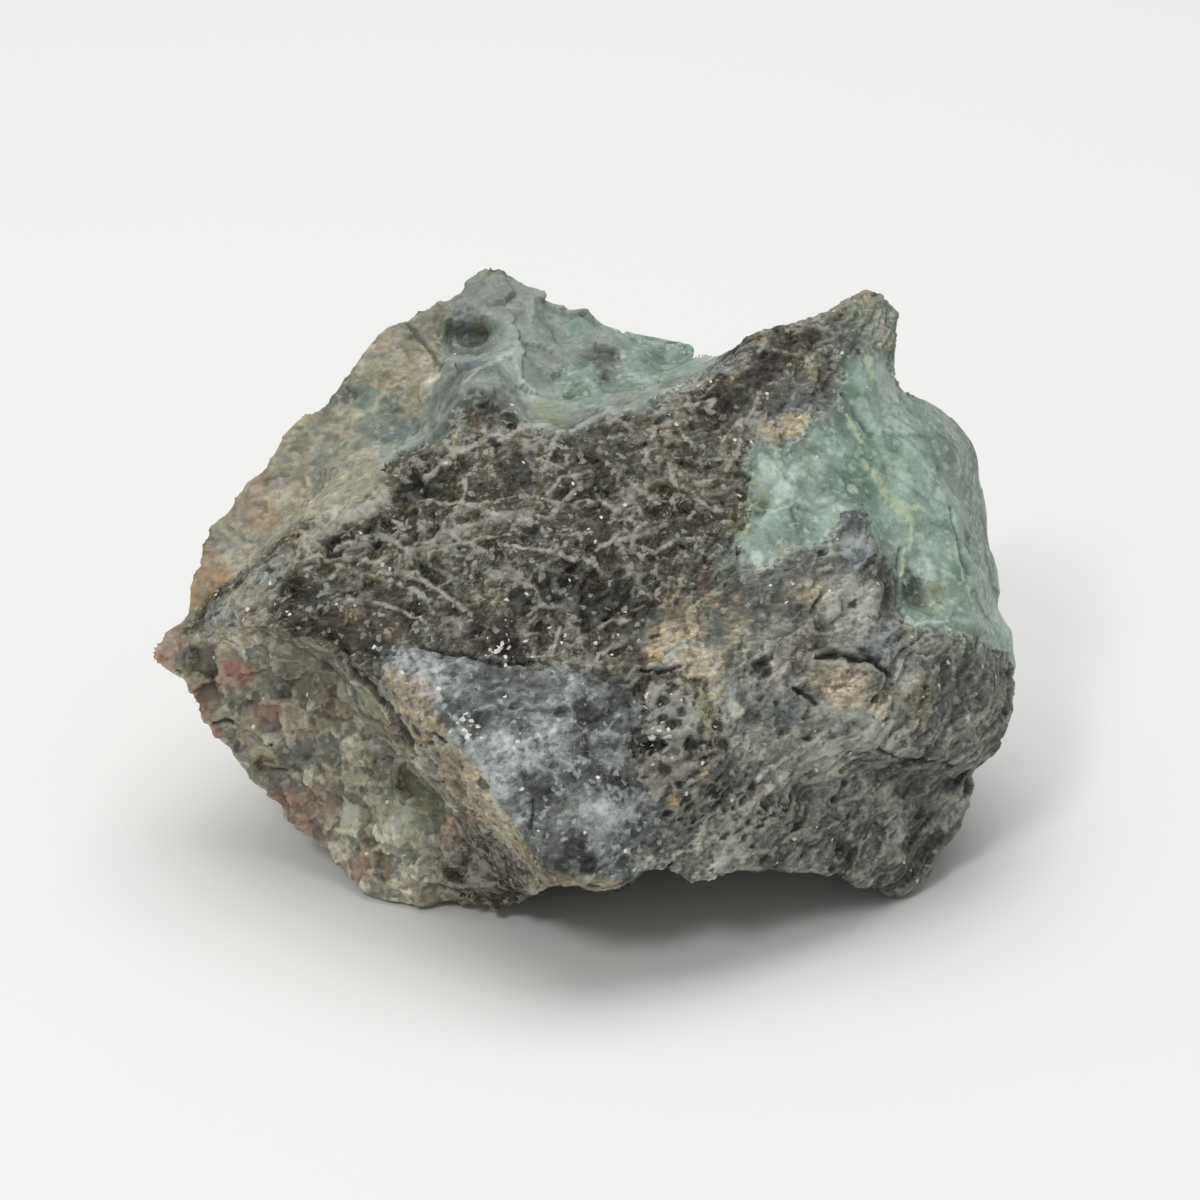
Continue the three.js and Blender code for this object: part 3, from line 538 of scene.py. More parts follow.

# %% [markdown]
# Pale spots are grains of quartz and feldspar that lie bare; a few wide ones are painted light, which
# brightens the emerald's hollow middle where the lamps leave it darker. Dark ones are plates of biotite,
# and painted shade in deep pits and recesses.

# %% Pale and dark spots, with painted light and shade
# Bare pale grains, and painted light in a few wide spots on the emerald's middle.
PALE_SPOTS = [
    (655, 690, 0.5, 0.9), (668, 712, 0.4, 0.9), (650, 730, 0.4, 0.8), (678, 735, 0.4, 0.8),
    (690, 765, 0.4, 0.7), (330, 520, 1.2, 0.9), (310, 535, 1.1, 0.7), (360, 508, 1, 0.8),
    (500, 432, 0.8, 0.5), (620, 412, 0.8, 0.5), (450, 852, 1, 0.6), (478, 885, 1.1, 0.6),
    (500, 862, 0.6, 0.5), (345, 517, 0.8, 0.9), (366, 507, 0.8, 1), (380, 496, 0.7, 1),
    (785, 490, 0.8, 1), (772, 468, 0.9, 0.7), (812, 462, 1, 0.6), (855, 490, 0.4, 0.9),
    (865, 415, 0.5, 0.7), (870, 360, 0.5, 1), (873, 375, 0.35, 1), (877, 432, 0.3, 0.6),
    (350, 815, 0.7, 1), (395, 825, 0.6, 0.8), (398, 800, 0.6, 0.6), (430, 870, 1, 0.5),
    (405, 880, 0.8, 0.6), (757, 560, 0.6, 0.9), (480, 758, 1.1, 0.6), (492, 782, 1, 0.6),
    (560, 765, 0.9, 0.6), (590, 795, 0.8, 0.5), (590, 825, 1.1, 0.5), (452, 738, 0.6, 0.8),
    (1000, 625, 1.2, 0.5), (342, 693, 0.7, 0.8), (400, 760, 0.7, 0.8), (640, 378, 0.9, 0.5),
    (668, 366, 0.8, 0.5), (885, 800, 1.2, 0.5), (950, 605, 0.8, 0.4), (525, 520, 0.9, 0.5),
    (364, 724, 0.8, 0.7), (215, 605, 1.2, 0.5), (250, 592, 1.2, 0.6), (285, 562, 1.1, 0.6),
    (318, 540, 1, 0.5), (600, 695, 0.9, 0.5), (665, 690, 1, 0.5), (640, 870, 0.8, 0.5),
    (590, 880, 0.7, 0.5), (820, 480, 1.2, 0.4), (797, 470, 0.8, 0.6), (885, 465, 1.6, 0.35),
    (835, 575, 1.6, 0.35), (600, 378, 0.5, 0.8), (470, 372, 0.7, 0.5), (462, 300, 0.8, 0.4),
    (655, 500, 0.7, 0.4), (600, 440, 0.9, 0.4), (900, 550, 0.6, 0.4), (740, 540, 0.7, 0.4),
    (460, 655, 1, 0.4), (428, 665, 0.7, 0.7), (545, 880, 0.6, 0.6), (372, 745, 0.5, 0.6),
]
# Plates of biotite, and painted shade in pits and recesses.
DARK_SPOTS = [
    (662, 700, 0.4, 1), (672, 725, 0.4, 1), (655, 745, 0.5, 1), (690, 745, 0.5, 1), (700, 730, 0.4, 0.8),
    (683, 712, 0.35, 0.8), (645, 712, 0.35, 0.8), (665, 770, 0.4, 0.8), (705, 790, 0.5, 0.7),
    (725, 805, 0.5, 0.7), (520, 600, 0.8, 0.9), (765, 670, 0.6, 1), (718, 726, 0.5, 1),
    (590, 350, 0.8, 0.6), (609, 352, 0.9, 0.8), (725, 745, 0.55, 1), (642, 660, 0.6, 0.9),
    (575, 850, 0.9, 0.9), (590, 866, 0.6, 1), (565, 866, 0.5, 0.9), (780, 338, 0.9, 0.8),
    (813, 335, 0.8, 1), (768, 362, 1.2, 1), (755, 378, 1.1, 1), (857, 530, 0.7, 0.4),
    (862, 556, 0.6, 0.5), (452, 875, 0.6, 1), (690, 850, 0.5, 0.6), (610, 712, 0.5, 0.7),
    (460, 790, 0.8, 0.6), (840, 795, 0.8, 0.4), (700, 575, 0.9, 0.6), (520, 470, 1.6, 0.5),
    (560, 575, 1.2, 0.6), (495, 670, 1, 0.6), (410, 490, 1, 0.6), (370, 600, 1.1, 0.4),
    (340, 590, 0.9, 0.4), (480, 410, 1.2, 0.6), (500, 400, 1, 0.7), (800, 790, 0.5, 0.6),
    (750, 788, 0.5, 0.7), (800, 822, 0.6, 0.6), (770, 800, 0.4, 0.8), (840, 845, 0.5, 0.8),
    (805, 855, 0.6, 0.6), (905, 780, 1.6, 0.5), (210, 690, 0.9, 0.5), (250, 700, 1, 0.4),
    (532, 690, 1.1, 0.6), (650, 470, 1.1, 0.4), (690, 460, 1, 0.5), (740, 700, 0.7, 0.6),
    (750, 715, 0.6, 0.7), (512, 655, 0.7, 0.6), (980, 460, 0.8, 0.6), (375, 698, 0.8, 0.7),
    (340, 655, 0.7, 0.4), (620, 702, 1, 0.6), (545, 778, 1, 0.6), (510, 805, 0.9, 0.5),
    (470, 345, 0.8, 0.6), (480, 290, 0.5, 0.3), (430, 455, 0.8, 0.5), (445, 425, 0.9, 0.5),
    (625, 590, 0.9, 0.5), (590, 480, 0.9, 0.5), (300, 600, 0.8, 0.4), (690, 815, 0.8, 0.5),
    (645, 810, 0.6, 0.6),
]
pale = told("pale", spots(PALE_SPOTS, 73))
dark = told("dark", spots(DARK_SPOTS, 76))

# %% [markdown]
# Three more lists. The first says where the colour takes painted highlights for mica flakes that mirror
# the lamp. The other two say how the surface behaves, not what colour it has: where the rock is scaly
# with torn flakes, and where it is so calm that it takes little relief.

# %% Painted glints, scales and calm places
# Painted highlights: near-white sparks and flashing flakes are painted into the colour here.
PAINTED_GLINT_SPOTS = [
    (650, 700, 1.1, 1), (664, 735, 0.9, 1), (672, 700, 1.2, 0.8), (655, 750, 1, 0.8), (700, 770, 0.5, 1),
    (680, 755, 0.8, 0.7), (470, 726, 1.2, 0.9), (500, 715, 1, 0.8), (500, 640, 1.3, 0.9),
    (455, 615, 1, 0.8), (380, 615, 0.9, 0.7), (512, 404, 0.35, 1), (517, 411, 0.3, 1),
    (630, 635, 0.9, 0.7), (510, 884, 0.6, 1), (540, 640, 1.2, 0.7), (600, 650, 1, 0.6),
    (660, 570, 0.8, 0.5), (565, 765, 0.8, 0.5), (523, 463, 0.2, 0.9), (605, 690, 1, 0.6),
    (425, 630, 1.2, 0.6), (800, 330, 0.5, 0.7), (780, 380, 0.4, 0.7), (450, 735, 0.5, 0.9),
    (520, 605, 1.4, 0.5), (430, 560, 1.4, 0.4), (690, 800, 1, 0.5), (505, 740, 1, 0.6),
    (760, 810, 1.5, 0.4), (860, 860, 1.5, 0.3), (470, 860, 1.2, 0.5), (745, 440, 1.2, 0.4),
    (560, 520, 2, 0.3),
]
SCALY_SPOTS = [
    (675, 715, 2.4, 1), (665, 760, 2, 1), (700, 800, 2.2, 0.9), (745, 815, 2.4, 0.9), (790, 830, 2, 0.7),
    (765, 700, 1.2, 0.8), (620, 655, 1.6, 0.5), (540, 640, 1.6, 0.4), (840, 810, 1.6, 0.6),
    (640, 600, 1.4, 0.4),
]
CALM_SPOTS = [
    (126, 655, 2.2, 1), (722, 345, 1.6, 1), (135, 640, 2, 1), (122, 668, 1.5, 1), (152, 650, 2.6, 1),
    (240, 605, 1.4, 0.6), (290, 660, 1.6, 0.7), (320, 650, 1.4, 0.7), (410, 810, 1.6, 0.5),
    (510, 370, 2, 0.6), (900, 470, 2, 0.6), (600, 780, 3, 0.4), (440, 770, 1.6, 0.6),
]
painted_glint = told("painted_glint", spots(PAINTED_GLINT_SPOTS, 81))
scaly = told("scales", spots(SCALY_SPOTS, 99))
calm = told("calm", spots(CALM_SPOTS, 92))

# %% [markdown]
# Wisps are torn edges of pale mica that lie across the dark face. Streaks are pale veins in the emerald.
# Cracks follow the borders between blocks, and some of these dark lines are painted shadow along the
# undersides of ledges. Noise along a wisp or streak breaks it up.

# %% Wisps, streaks, cracks and painted shadow lines
WISPS = [
    (0.25, [(412, 650), (425, 672), (440, 700)]), (0.2, [(455, 720), (470, 745), (485, 775)]),
    (0.2, [(492, 790), (500, 815), (508, 840)]), (0.18, [(300, 560), (340, 556), (380, 562)]),
    (0.16, [(350, 600), (390, 606), (425, 622)]), (0.18, [(430, 500), (470, 506), (500, 516)]),
    (0.16, [(505, 545), (540, 548), (575, 560)]),
    (0.18, [(380, 570), (410, 575), (440, 590), (465, 610)]),
    (0.16, [(540, 500), (560, 480), (590, 470)]), (0.15, [(600, 500), (620, 512), (640, 530)]),
    (0.16, [(560, 430), (550, 450), (545, 470)]), (0.15, [(680, 430), (694, 446), (700, 465)]),
    (0.19, [(335, 548), (355, 538), (380, 535), (400, 545), (412, 562)]),
    (0.16, [(392, 522), (412, 526), (432, 532)]), (0.19, [(452, 536), (468, 543), (486, 552)]),
    (0.15, [(398, 584), (415, 590), (428, 600), (432, 614)]),
    (0.16, [(300, 528), (305, 545), (318, 562)]), (0.14, [(330, 577), (345, 562), (365, 553)]),
    (0.16, [(465, 382), (478, 370), (500, 359), (520, 346)]),
    (0.26, [(440, 462), (462, 450), (482, 440), (500, 434)]), (0.2, [(500, 440), (520, 428), (545, 424)]),
    (0.2, [(570, 432), (590, 420), (612, 413), (634, 411)]), (0.2, [(655, 412), (680, 404), (715, 402)]),
    (0.16, [(655, 432), (648, 445), (645, 462)]), (0.16, [(668, 460), (670, 475), (676, 490)]),
    (0.16, [(630, 480), (638, 490), (650, 497)]), (0.16, [(700, 480), (712, 478)]),
    (0.19, [(696, 500), (708, 508), (722, 512)]), (0.16, [(565, 500), (575, 492), (582, 482)]),
    (0.19, [(620, 540), (645, 535), (665, 528)]), (0.16, [(640, 560), (655, 550), (672, 542)]),
    (0.15, [(595, 548), (610, 540), (625, 530)]), (0.16, [(583, 558), (595, 566), (602, 575)]),
    (0.19, [(598, 628), (612, 622), (628, 618)]), (0.16, [(725, 470), (735, 455), (740, 440)]),
    (0.2, [(512, 530), (522, 520), (535, 522), (545, 535)]), (0.15, [(465, 480), (466, 492), (462, 505)]),
    (0.16, [(425, 480), (435, 470), (450, 462)]), (0.16, [(700, 580), (708, 560), (722, 548)]),
    (0.16, [(740, 425), (752, 410), (758, 395)]), (0.15, [(750, 360), (762, 345), (775, 335)]),
    (0.19, [(905, 628), (930, 622), (955, 618), (975, 622)]), (0.16, [(870, 668), (888, 672)]),
    (0.16, [(815, 660), (840, 664), (860, 666), (864, 690), (858, 706)]),
    (0.2, [(905, 690), (895, 715), (880, 740)]), (0.16, [(700, 690), (712, 672), (722, 655)]),
    (0.16, [(760, 640), (772, 628), (788, 622)]), (0.2, [(720, 860), (745, 850), (770, 852)]),
    (0.16, [(840, 805), (860, 795), (880, 798), (905, 800)]),
    (0.16, [(345, 516), (365, 508), (384, 494)]), (0.19, [(560, 760), (570, 763), (578, 775)]),
    (0.16, [(598, 780), (602, 792), (604, 806)]), (0.16, [(400, 640), (405, 660), (398, 680)]),
    (0.16, [(300, 640), (330, 650), (350, 665)]), (0.16, [(560, 628), (556, 640), (552, 655)]),
    (0.16, [(740, 420), (728, 430), (722, 442)]),
]
STREAKS = [
    (0.3, [(866, 465), (878, 478), (886, 492)]), (0.42, [(886, 492), (898, 502), (907, 520)]),
    (0.14, [(900, 500), (912, 508), (920, 505)]), (0.14, [(911, 525), (912, 540), (908, 550)]),
    (0.1, [(895, 548), (903, 560), (900, 575)]), (0.16, [(866, 356), (868, 370), (872, 378)]),
    (0.1, [(955, 545), (962, 580), (972, 600)]), (0.12, [(845, 415), (856, 432), (868, 452)]),
]
# Dark lines: cracks between blocks, and painted shadow under ledges.
CRACKS_AND_PAINTED_SHADOWS = [
    (0.16, [(405, 320), (425, 340), (440, 368)]),
    (0.14, [(422, 647), (455, 652), (485, 660), (525, 664)]),
    (0.2, [(817, 657), (840, 655), (870, 660), (890, 676)]), (0.16, [(793, 687), (805, 696), (817, 703)]),
    (0.12, [(900, 548), (897, 575), (899, 602), (906, 622)]), (0.1, [(950, 508), (957, 535), (968, 575)]),
    (0.22, [(345, 655), (370, 690), (395, 718), (412, 745)]),
    (0.12, [(842, 395), (860, 420), (873, 437)]), (0.14, [(630, 590), (620, 605), (605, 620)]),
    (0.12, [(640, 668), (655, 672), (680, 668)]), (0.14, [(873, 748), (900, 760), (960, 765)]),
    (0.12, [(665, 872), (672, 862)]), (0.1, [(533, 800), (530, 830)]), (0.1, [(434, 732), (446, 744)]),
    (0.12, [(270, 770), (285, 773)]), (0.14, [(215, 722), (232, 722)]),
]
wisp_breaks = 0.55 + 0.45 * ramp(rugged(skin, 0.45, 400), -0.6, 0.3)
streak_breaks = ramp(rugged(skin, 0.4, 404), -0.9, -0.2)
wisp = told("wisps", strokes(WISPS, 82) * wisp_breaks)
streak = told("streaks", strokes(STREAKS, 85) * streak_breaks)
crack_and_painted_shadow = told("cracks", strokes(CRACKS_AND_PAINTED_SHADOWS, 88))

# %% [markdown]
# Two tints have an outline instead: a rusty band down the slab's left edge, and a dusty strip down the
# emerald's right side. Melting softens their borders.

# %% A rusty band and a dusty strip
BAND_OUTLINE = [
    (380, 662), (400, 672), (428, 702), (458, 742), (488, 782), (512, 824), (530, 850), (552, 872),
    (640, 882), (700, 880), (700, 920), (540, 910), (500, 850), (470, 818), (430, 772), (398, 730),
]
DUSTY_OUTLINE = [
    (893, 385), (912, 420), (932, 460), (950, 500), (958, 530), (972, 575), (990, 605), (1010, 600),
    (1000, 520), (990, 450), (960, 400), (900, 380),
]
BAND_SOFTENING = 3
DUSTY_SOFTENING = 8
band = told("band", melted(enclosed(columns, rows, BAND_OUTLINE) * seen * 1.0, BAND_SOFTENING))
dusty = enclosed(wandering_columns, wandering_rows, DUSTY_OUTLINE) * seen * 1.0
dusty = told("dust", melted(dusty, DUSTY_SOFTENING))

# %% [markdown]
# Last come broad tones. Part of them is each mineral's own tone, lighter in one place than in another.
# Part is painted light and shade: they brighten places that the lamps leave too dark, such as the
# emerald's hollow middle, and darken recesses, such as the foot under the right-hand ledge and the
# emerald's pit. A shade is a pixel place, a radius in mm and a power of two: 1 doubles the brightness
# there, and -1 halves it.

# %% Broad tones, with painted light and shade
# The minerals' own tone, and painted light and shade: brighter where the lamps leave dark, darker in
# recesses.
TONES_AND_PAINTED_LIGHT = [
    (510, 305, 2.5, -0.25), (860, 315, 2, -0.1), (862, 315, 2, 0.15), (862, 315, 2.2, 0.45),
    (865, 320, 2, 0.15), (650, 345, 2, -0.25), (380, 350, 2, 0.2), (605, 350, 1.4, -0.5),
    (780, 360, 2, -0.3), (780, 360, 2.2, 0.8), (590, 370, 2, -0.1), (605, 370, 3, -0.3),
    (868, 370, 2, 0.25), (732, 372, 1.3, 0.6), (732, 372, 1.8, 0.85), (520, 375, 2, 0.7),
    (640, 385, 1.4, 0.3), (860, 390, 2, 0.3), (370, 395, 3, -0.3), (368, 397, 2, 0.75),
    (480, 412, 1.6, -0.7), (975, 425, 2.5, -0.35), (545, 430, 1.3, 0.5), (735, 430, 1, 0.3),
    (335, 435, 2.5, 0.25), (345, 435, 3, 0.25), (950, 440, 2.5, -0.25), (700, 455, 1.6, -0.5),
    (680, 460, 4, 0.1), (520, 470, 2, -0.6), (610, 470, 4, -0.15), (690, 470, 3, 0.12),
    (690, 470, 3.5, 0.2), (885, 470, 3, 0.55), (560, 480, 6, -0.15), (600, 480, 1.2, -0.5),
    (790, 480, 3, -0.15), (650, 490, 1.4, 0.45), (410, 492, 1.4, -0.6), (375, 500, 1.4, 0.6),
    (700, 500, 1.2, 0.45), (510, 520, 1.4, 0.4), (330, 522, 1.6, 0.8), (320, 530, 2, 0.45),
    (320, 530, 2.6, 1.5), (700, 535, 2.5, -0.2), (910, 535, 2, 0.05), (850, 540, 1.2, 0.35),
    (857, 540, 1.2, 0.5), (230, 545, 2.5, -0.15), (460, 545, 1.7, 0.5), (860, 545, 1, 0.6),
    (860, 545, 1.2, 0.5), (600, 555, 1.3, 0.5), (400, 560, 3, 0.1), (560, 560, 4.5, -0.7),
    (620, 560, 3, -0.15), (650, 560, 4.5, -0.5), (350, 570, 1.5, 0.4), (560, 575, 1.8, -0.5),
    (835, 575, 2.6, 0.75), (620, 590, 1.5, -0.5), (916, 590, 1.2, -0.3), (916, 592, 1.4, -0.8),
    (240, 600, 2.8, 1.3), (450, 600, 3.5, -0.4), (215, 605, 2, 0.3), (575, 640, 2, 0.4),
    (760, 640, 2, 0.4), (670, 645, 2.2, 0.4), (670, 645, 2.4, 0.25), (860, 650, 2.4, 0.4),
    (420, 660, 1.5, 0.4), (300, 670, 2.4, -0.1), (290, 675, 3, -0.25), (475, 680, 2.2, 0.3),
    (930, 680, 3, 0.35), (830, 690, 2, 0.35), (710, 700, 2, 0.45), (710, 700, 2.2, 0.3),
    (710, 705, 2.6, 0.7), (675, 715, 2, 0.3), (900, 715, 2, -0.3), (675, 720, 2, 0.7),
    (675, 720, 2.2, 0.65), (800, 720, 1.8, -0.3), (900, 730, 3, 0.15), (570, 740, 3, -0.2),
    (820, 740, 3, 0.4), (310, 760, 2.5, -0.15), (310, 760, 3, 0.3), (490, 765, 2, 0.4),
    (590, 780, 4, 0.1), (905, 780, 2, -0.15), (780, 800, 2, -0.2), (880, 800, 1.6, 0.5),
    (410, 805, 1.6, 0.3), (905, 820, 2.5, -0.15), (600, 830, 3, 0.6), (370, 850, 3, 0.6),
    (470, 862, 2.2, 0.5), (420, 865, 3, 0.5), (480, 870, 2.2, 0.6), (700, 870, 4, 0.15),
]
SHADE_CORE = 0.3
SHADE_RIM = 1.4
SHADE_FRAY = 0.25
SHADE_FRAY_MM = 1.5
tone_and_painted_light = np.zeros(point_count)
shade_fray = 1 + SHADE_FRAY * rolling(skin, SHADE_FRAY_MM, 93)
for x, y, radius, power in TONES_AND_PAINTED_LIGHT:
    distance = distance_from(x, y) * shade_fray
    tone_and_painted_light += power * (1 - ramp(distance, radius * SHADE_CORE, radius * SHADE_RIM))
print("shades in powers of two", tone_and_painted_light.min().round(2), tone_and_painted_light.max().round(2))

# %% [markdown]
# Where the photograph doesn't see, chance puts the stains instead, in patches of the same size.

# %% Stains that the photograph doesn't see
STAIN_PERIOD_MM = 4.5
STAIN_FADE = 0.5
STAIN_STRENGTH = 0.8
CHANCE_STAINS = ((ochre, 91, 0.55), (pink, 94, 0.75), (olive, 97, 0.6), (pale, 100, 0.6), (dark, 103, 0.5))
for stain, salt, share in CHANCE_STAINS:
    chance = STAIN_STRENGTH * ramp(rugged(skin, STAIN_PERIOD_MM, salt), share, share + STAIN_FADE)
    stain[:] = np.where(seen, stain, np.maximum(stain, chance))
print("ochre on the unseen side", int((ochre[~seen] > 0.3).sum()), "points")

# %% [markdown]
# Schist is made of flakes that all lie one way. The foliation plane slopes down to the left and the
# front, as the solid's own ledges do, and is gently folded. Coordinates in that plane let flakes be wide
# and thin.

# %% The lie of the flakes
FOLIATION = np.array([-0.28, -0.3, 0.91])
FOLIATION /= np.linalg.norm(FOLIATION)
FOLD_MM = 0.55
FOLD_EVERY_MM = 3.2
dip = np.cross(FOLIATION, [0, 1, 0])
dip /= np.linalg.norm(dip)
strike = np.cross(FOLIATION, dip)
lying = skin @ np.stack([dip, strike, FOLIATION], axis=1)
lying[:, 2] += FOLD_MM * rugged(skin, FOLD_EVERY_MM, 111)
print("foliation", FOLIATION.round(2))

# %% [markdown]
# The next cells give each mineral its relief: fields of about -1 to 1, each times a height in mm. Some
# rock is scaly: flakes have fallen out of it, and thin torn rims stand up round the pits.

# %% Helpers for the relief
HUE_PATCH_MM = 2.6
PIT_WALL = (0.1, 0.4)
TORN_RIM = (0.05, 0.25)
TORN_HEIGHT = 0.8
SCALY_GAIN = 0.5
heights = np.zeros(point_count)
flake = np.full(point_count, 0.5)
frayed = np.zeros(point_count)
# Pits where flakes fell out; the finishes paint them near black, which is painted shade.
pit_with_painted_shade = np.zeros(point_count)
hue = 0.5 + 0.5 * rugged(skin, HUE_PATCH_MM, 115)


def stacked(heights_mm, **fields):
    """The fields added up, each times its height in mm."""
    return sum(heights_mm[name] * field for name, field in fields.items())


def fallen_out(points, period, salt, share, scales=0.0):
    """Pits that a share of the flakes left, and the rims round them where the rock is scaly."""
    numbers, _, border = crumbs(points, period, salt)
    pits = (numbers > 1 - share - SCALY_GAIN * scales) * ramp(border, *PIT_WALL)
    return pits, TORN_HEIGHT * scales * (1 - ramp(border, *TORN_RIM))


print("hue from", hue.min().round(2), "to", hue.max().round(2))

# %% [markdown]
# Dark mica breaks into ledges, and each ledge into small tilted flakes, with pits where a flake fell out.
# Some areas are rough and some nearly smooth. Torn flakes stand up as thin curls, in patches, and some of
# them are combed along the foliation.

# %% Dark mica schist breaks into ledges and flakes
LEDGE_MM = 1.5
LEDGE_BEND = 0.35
WIDE_FLAKE = [1.3, 1, 0.6]
SMALL_FLAKE = [1.2, 1, 0.5]
COMBED = [3.5, 1.2, 1.2]
COMBED_HEIGHT = 0.85
MICA_MM = {"ledge": 0.2, "wide": 0.12, "wide_tilt": 0.26, "small": 0.06, "small_tilt": 0.24, "wave": 0.1}
MICA_HOLE_MM = 0.3
MICA_PIT_MM = 0.16
MICA_FRAY_MM = 0.09
mask = mineral == MICA
here = lying[mask]
ledge = here[:, 2] / LEDGE_MM + LEDGE_BEND * rugged(here, 2.6, 121)
ledge -= np.floor(ledge)
flakes, tilt, _ = crumbs(here / WIDE_FLAKE, 1.15, 131)
small_flakes, small_tilt, _ = crumbs(here / SMALL_FLAKE, 0.5, 141)
holes, _, hole_border = crumbs(here, 2.3, 151)
torn = np.maximum(curls(skin[mask], 1.9, 0.13, 420), 0.85 * curls(skin[mask], 1.1, 0.15, 424))
torn *= ramp(rugged(here, 2.4, 430), -0.2, 0.6) * ramp(rolling(here, 0.5, 434), -0.9, 0.1)
combed = curls(here / COMBED, 0.9, 0.15, 427) * ramp(rugged(here, 3.5, 432), -0.1, 0.5)
uneven = wandered(here, 0.16, 0.6, (436, 437, 438))
pit_with_painted_shade[mask], rims = fallen_out(uneven / [1.2, 1, 0.8], 0.8, 440, 0.14, scaly[mask])
frayed[mask] = np.maximum(np.maximum(torn, COMBED_HEIGHT * combed), rims)
relief = stacked(MICA_MM, ledge=ledge - 0.5, wide=flakes - 0.5, wide_tilt=tilt, small=small_flakes - 0.5,
                 small_tilt=small_tilt, wave=rugged(here, 1.4, 161))
relief -= MICA_HOLE_MM * (holes > 0.8) * ramp(hole_border, 0.2, 0.5) + MICA_PIT_MM * pit_with_painted_shade[mask]
roughness = 0.5 + 0.75 * ramp(rugged(here, 4.2, 155), -0.5, 0.9)
heights[mask] = relief * roughness + MICA_FRAY_MM * frayed[mask]
flake[mask] = 0.6 * small_flakes + 0.4 * flakes
print("mica relief in mm", relief.min().round(2), relief.max().round(2))

# %% [markdown]
# The grey slab is a rubbed foliation face: softly waved, finely grained, with a few pits.

# %% The slab is rubbed smooth
SLAB_MM = {"wave": 0.08, "wide": 0.05, "wide_tilt": 0.15, "grain_tilt": 0.14}
SLAB_PIT_MM = 0.12
SLAB_FRAY_MM = 0.04
mask = mineral == SLAB
here = lying[mask]
flakes, tilt, _ = crumbs(here / [1.4, 1, 0.5], 0.9, 171)
grains, grain_tilt, _ = crumbs(here, 0.45, 181)
frayed[mask] = curls(here / [1.8, 1, 0.6], 1.0, 0.14, 450) * ramp(rugged(here, 1.8, 454), 0.1, 0.7)
pit_with_painted_shade[mask], _ = fallen_out(here / [1.2, 1, 0.8], 0.9, 460, 0.14)
relief = stacked(SLAB_MM, wave=rugged(here, 2.2, 191), wide=flakes - 0.5, wide_tilt=tilt,
                 grain_tilt=grain_tilt)
heights[mask] = relief - SLAB_PIT_MM * pit_with_painted_shade[mask] + SLAB_FRAY_MM * frayed[mask]
flake[mask] = 0.6 * grains + 0.4 * flakes
print("slab relief in mm", relief.min().round(2), relief.max().round(2))

# %% [markdown]
# Beryl has no flakes. It chips like glass, in large smooth shells, with finer chips where it was struck.

# %% Emerald chips like glass
SHELL_MM = {"shell": 0.05, "shell_tilt": 0.06}
CHIP_MM = {"chip": 0.05, "chip_tilt": 0.16}
BERYL_WAVE_MM = 0.03
mask = mineral == BERYL
here = skin[mask]
shells, shell_tilt, _ = crumbs(here * [1, 1, 0.6], 3.0, 201)
chips, chip_tilt, _ = crumbs(here * [1, 1, 0.75], 1.0, 211)
struck = ramp(rugged(here, 3.5, 221), 0.0, 0.9)
relief = stacked(SHELL_MM, shell=shells - 0.5, shell_tilt=shell_tilt)
relief += struck * stacked(CHIP_MM, chip=chips - 0.5, chip_tilt=chip_tilt)
relief += BERYL_WAVE_MM * rugged(here, 0.9, 231)
heights[mask] = relief
flake[mask] = 0.5 * shells + 0.5 * chips
print("emerald relief in mm", relief.min().round(2), relief.max().round(2))

# %% [markdown]
# The hollow is a crust of feldspar and quartz grains, broken through and round them. Each grain has a
# tone of its own.

# %% Feldspar breaks round its grains
CRUST_MM = {"wave": 0.14, "block": 0.14, "block_tilt": 0.28, "grain": 0.06, "grain_tilt": 0.18,
            "dust": 0.03}
TONE_STEPS = 9973
mask = mineral == FELDSPAR
here = wandered(skin[mask], 0.12, 1.1, (236, 238, 240))
blocks, block_tilt, _ = crumbs(here, 1.7, 241)
grains, grain_tilt, _ = crumbs(here, 0.7, 251)
relief = stacked(CRUST_MM, wave=rugged(here, 2.6, 255), block=blocks - 0.5, block_tilt=block_tilt,
                 grain=grains - 0.5, grain_tilt=grain_tilt, dust=rugged(here, 0.6, 261))
heights[mask] = relief
flake[mask] = 0.6 * blocks + 0.4 * grains
block_hue = drawn(np.floor(blocks[:, None] * [TONE_STEPS, 1, 1]), 263)
hue[mask] = 0.3 * hue[mask] + 0.45 * block_hue + 0.25 * grains
print("feldspar relief in mm", relief.min().round(2), relief.max().round(2))

# %% [markdown]
# The left slope has weathered: its grains are rounded and softened, with a few wide bumps.

# %% The weathered slope is lumpy
SLOPE_MM = {"wave": 0.24, "block": 0.03, "block_tilt": 0.1, "grain_tilt": 0.13, "dust": 0.04}
mask = mineral == WEATHERED
here = skin[mask]
blocks, block_tilt, _ = crumbs(here + 0.3 * rugged(here, 1.5, 269)[:, None], 1.6, 271)
grains, grain_tilt, _ = crumbs(here, 0.6, 281)
relief = stacked(SLOPE_MM, wave=rugged(here, 3.4, 291), block=blocks - 0.5, block_tilt=block_tilt,
                 grain_tilt=grain_tilt, dust=rugged(here, 0.7, 295))
heights[mask] = relief
flake[mask] = 0.6 * blocks + 0.4 * grains
print("slope relief in mm", relief.min().round(2), relief.max().round(2))

# %% [markdown]
# The banded schist on the right shows the flakes end on, as fine lines, one layer standing proud of the
# next. Each layer runs on for a few mm before it breaks off.

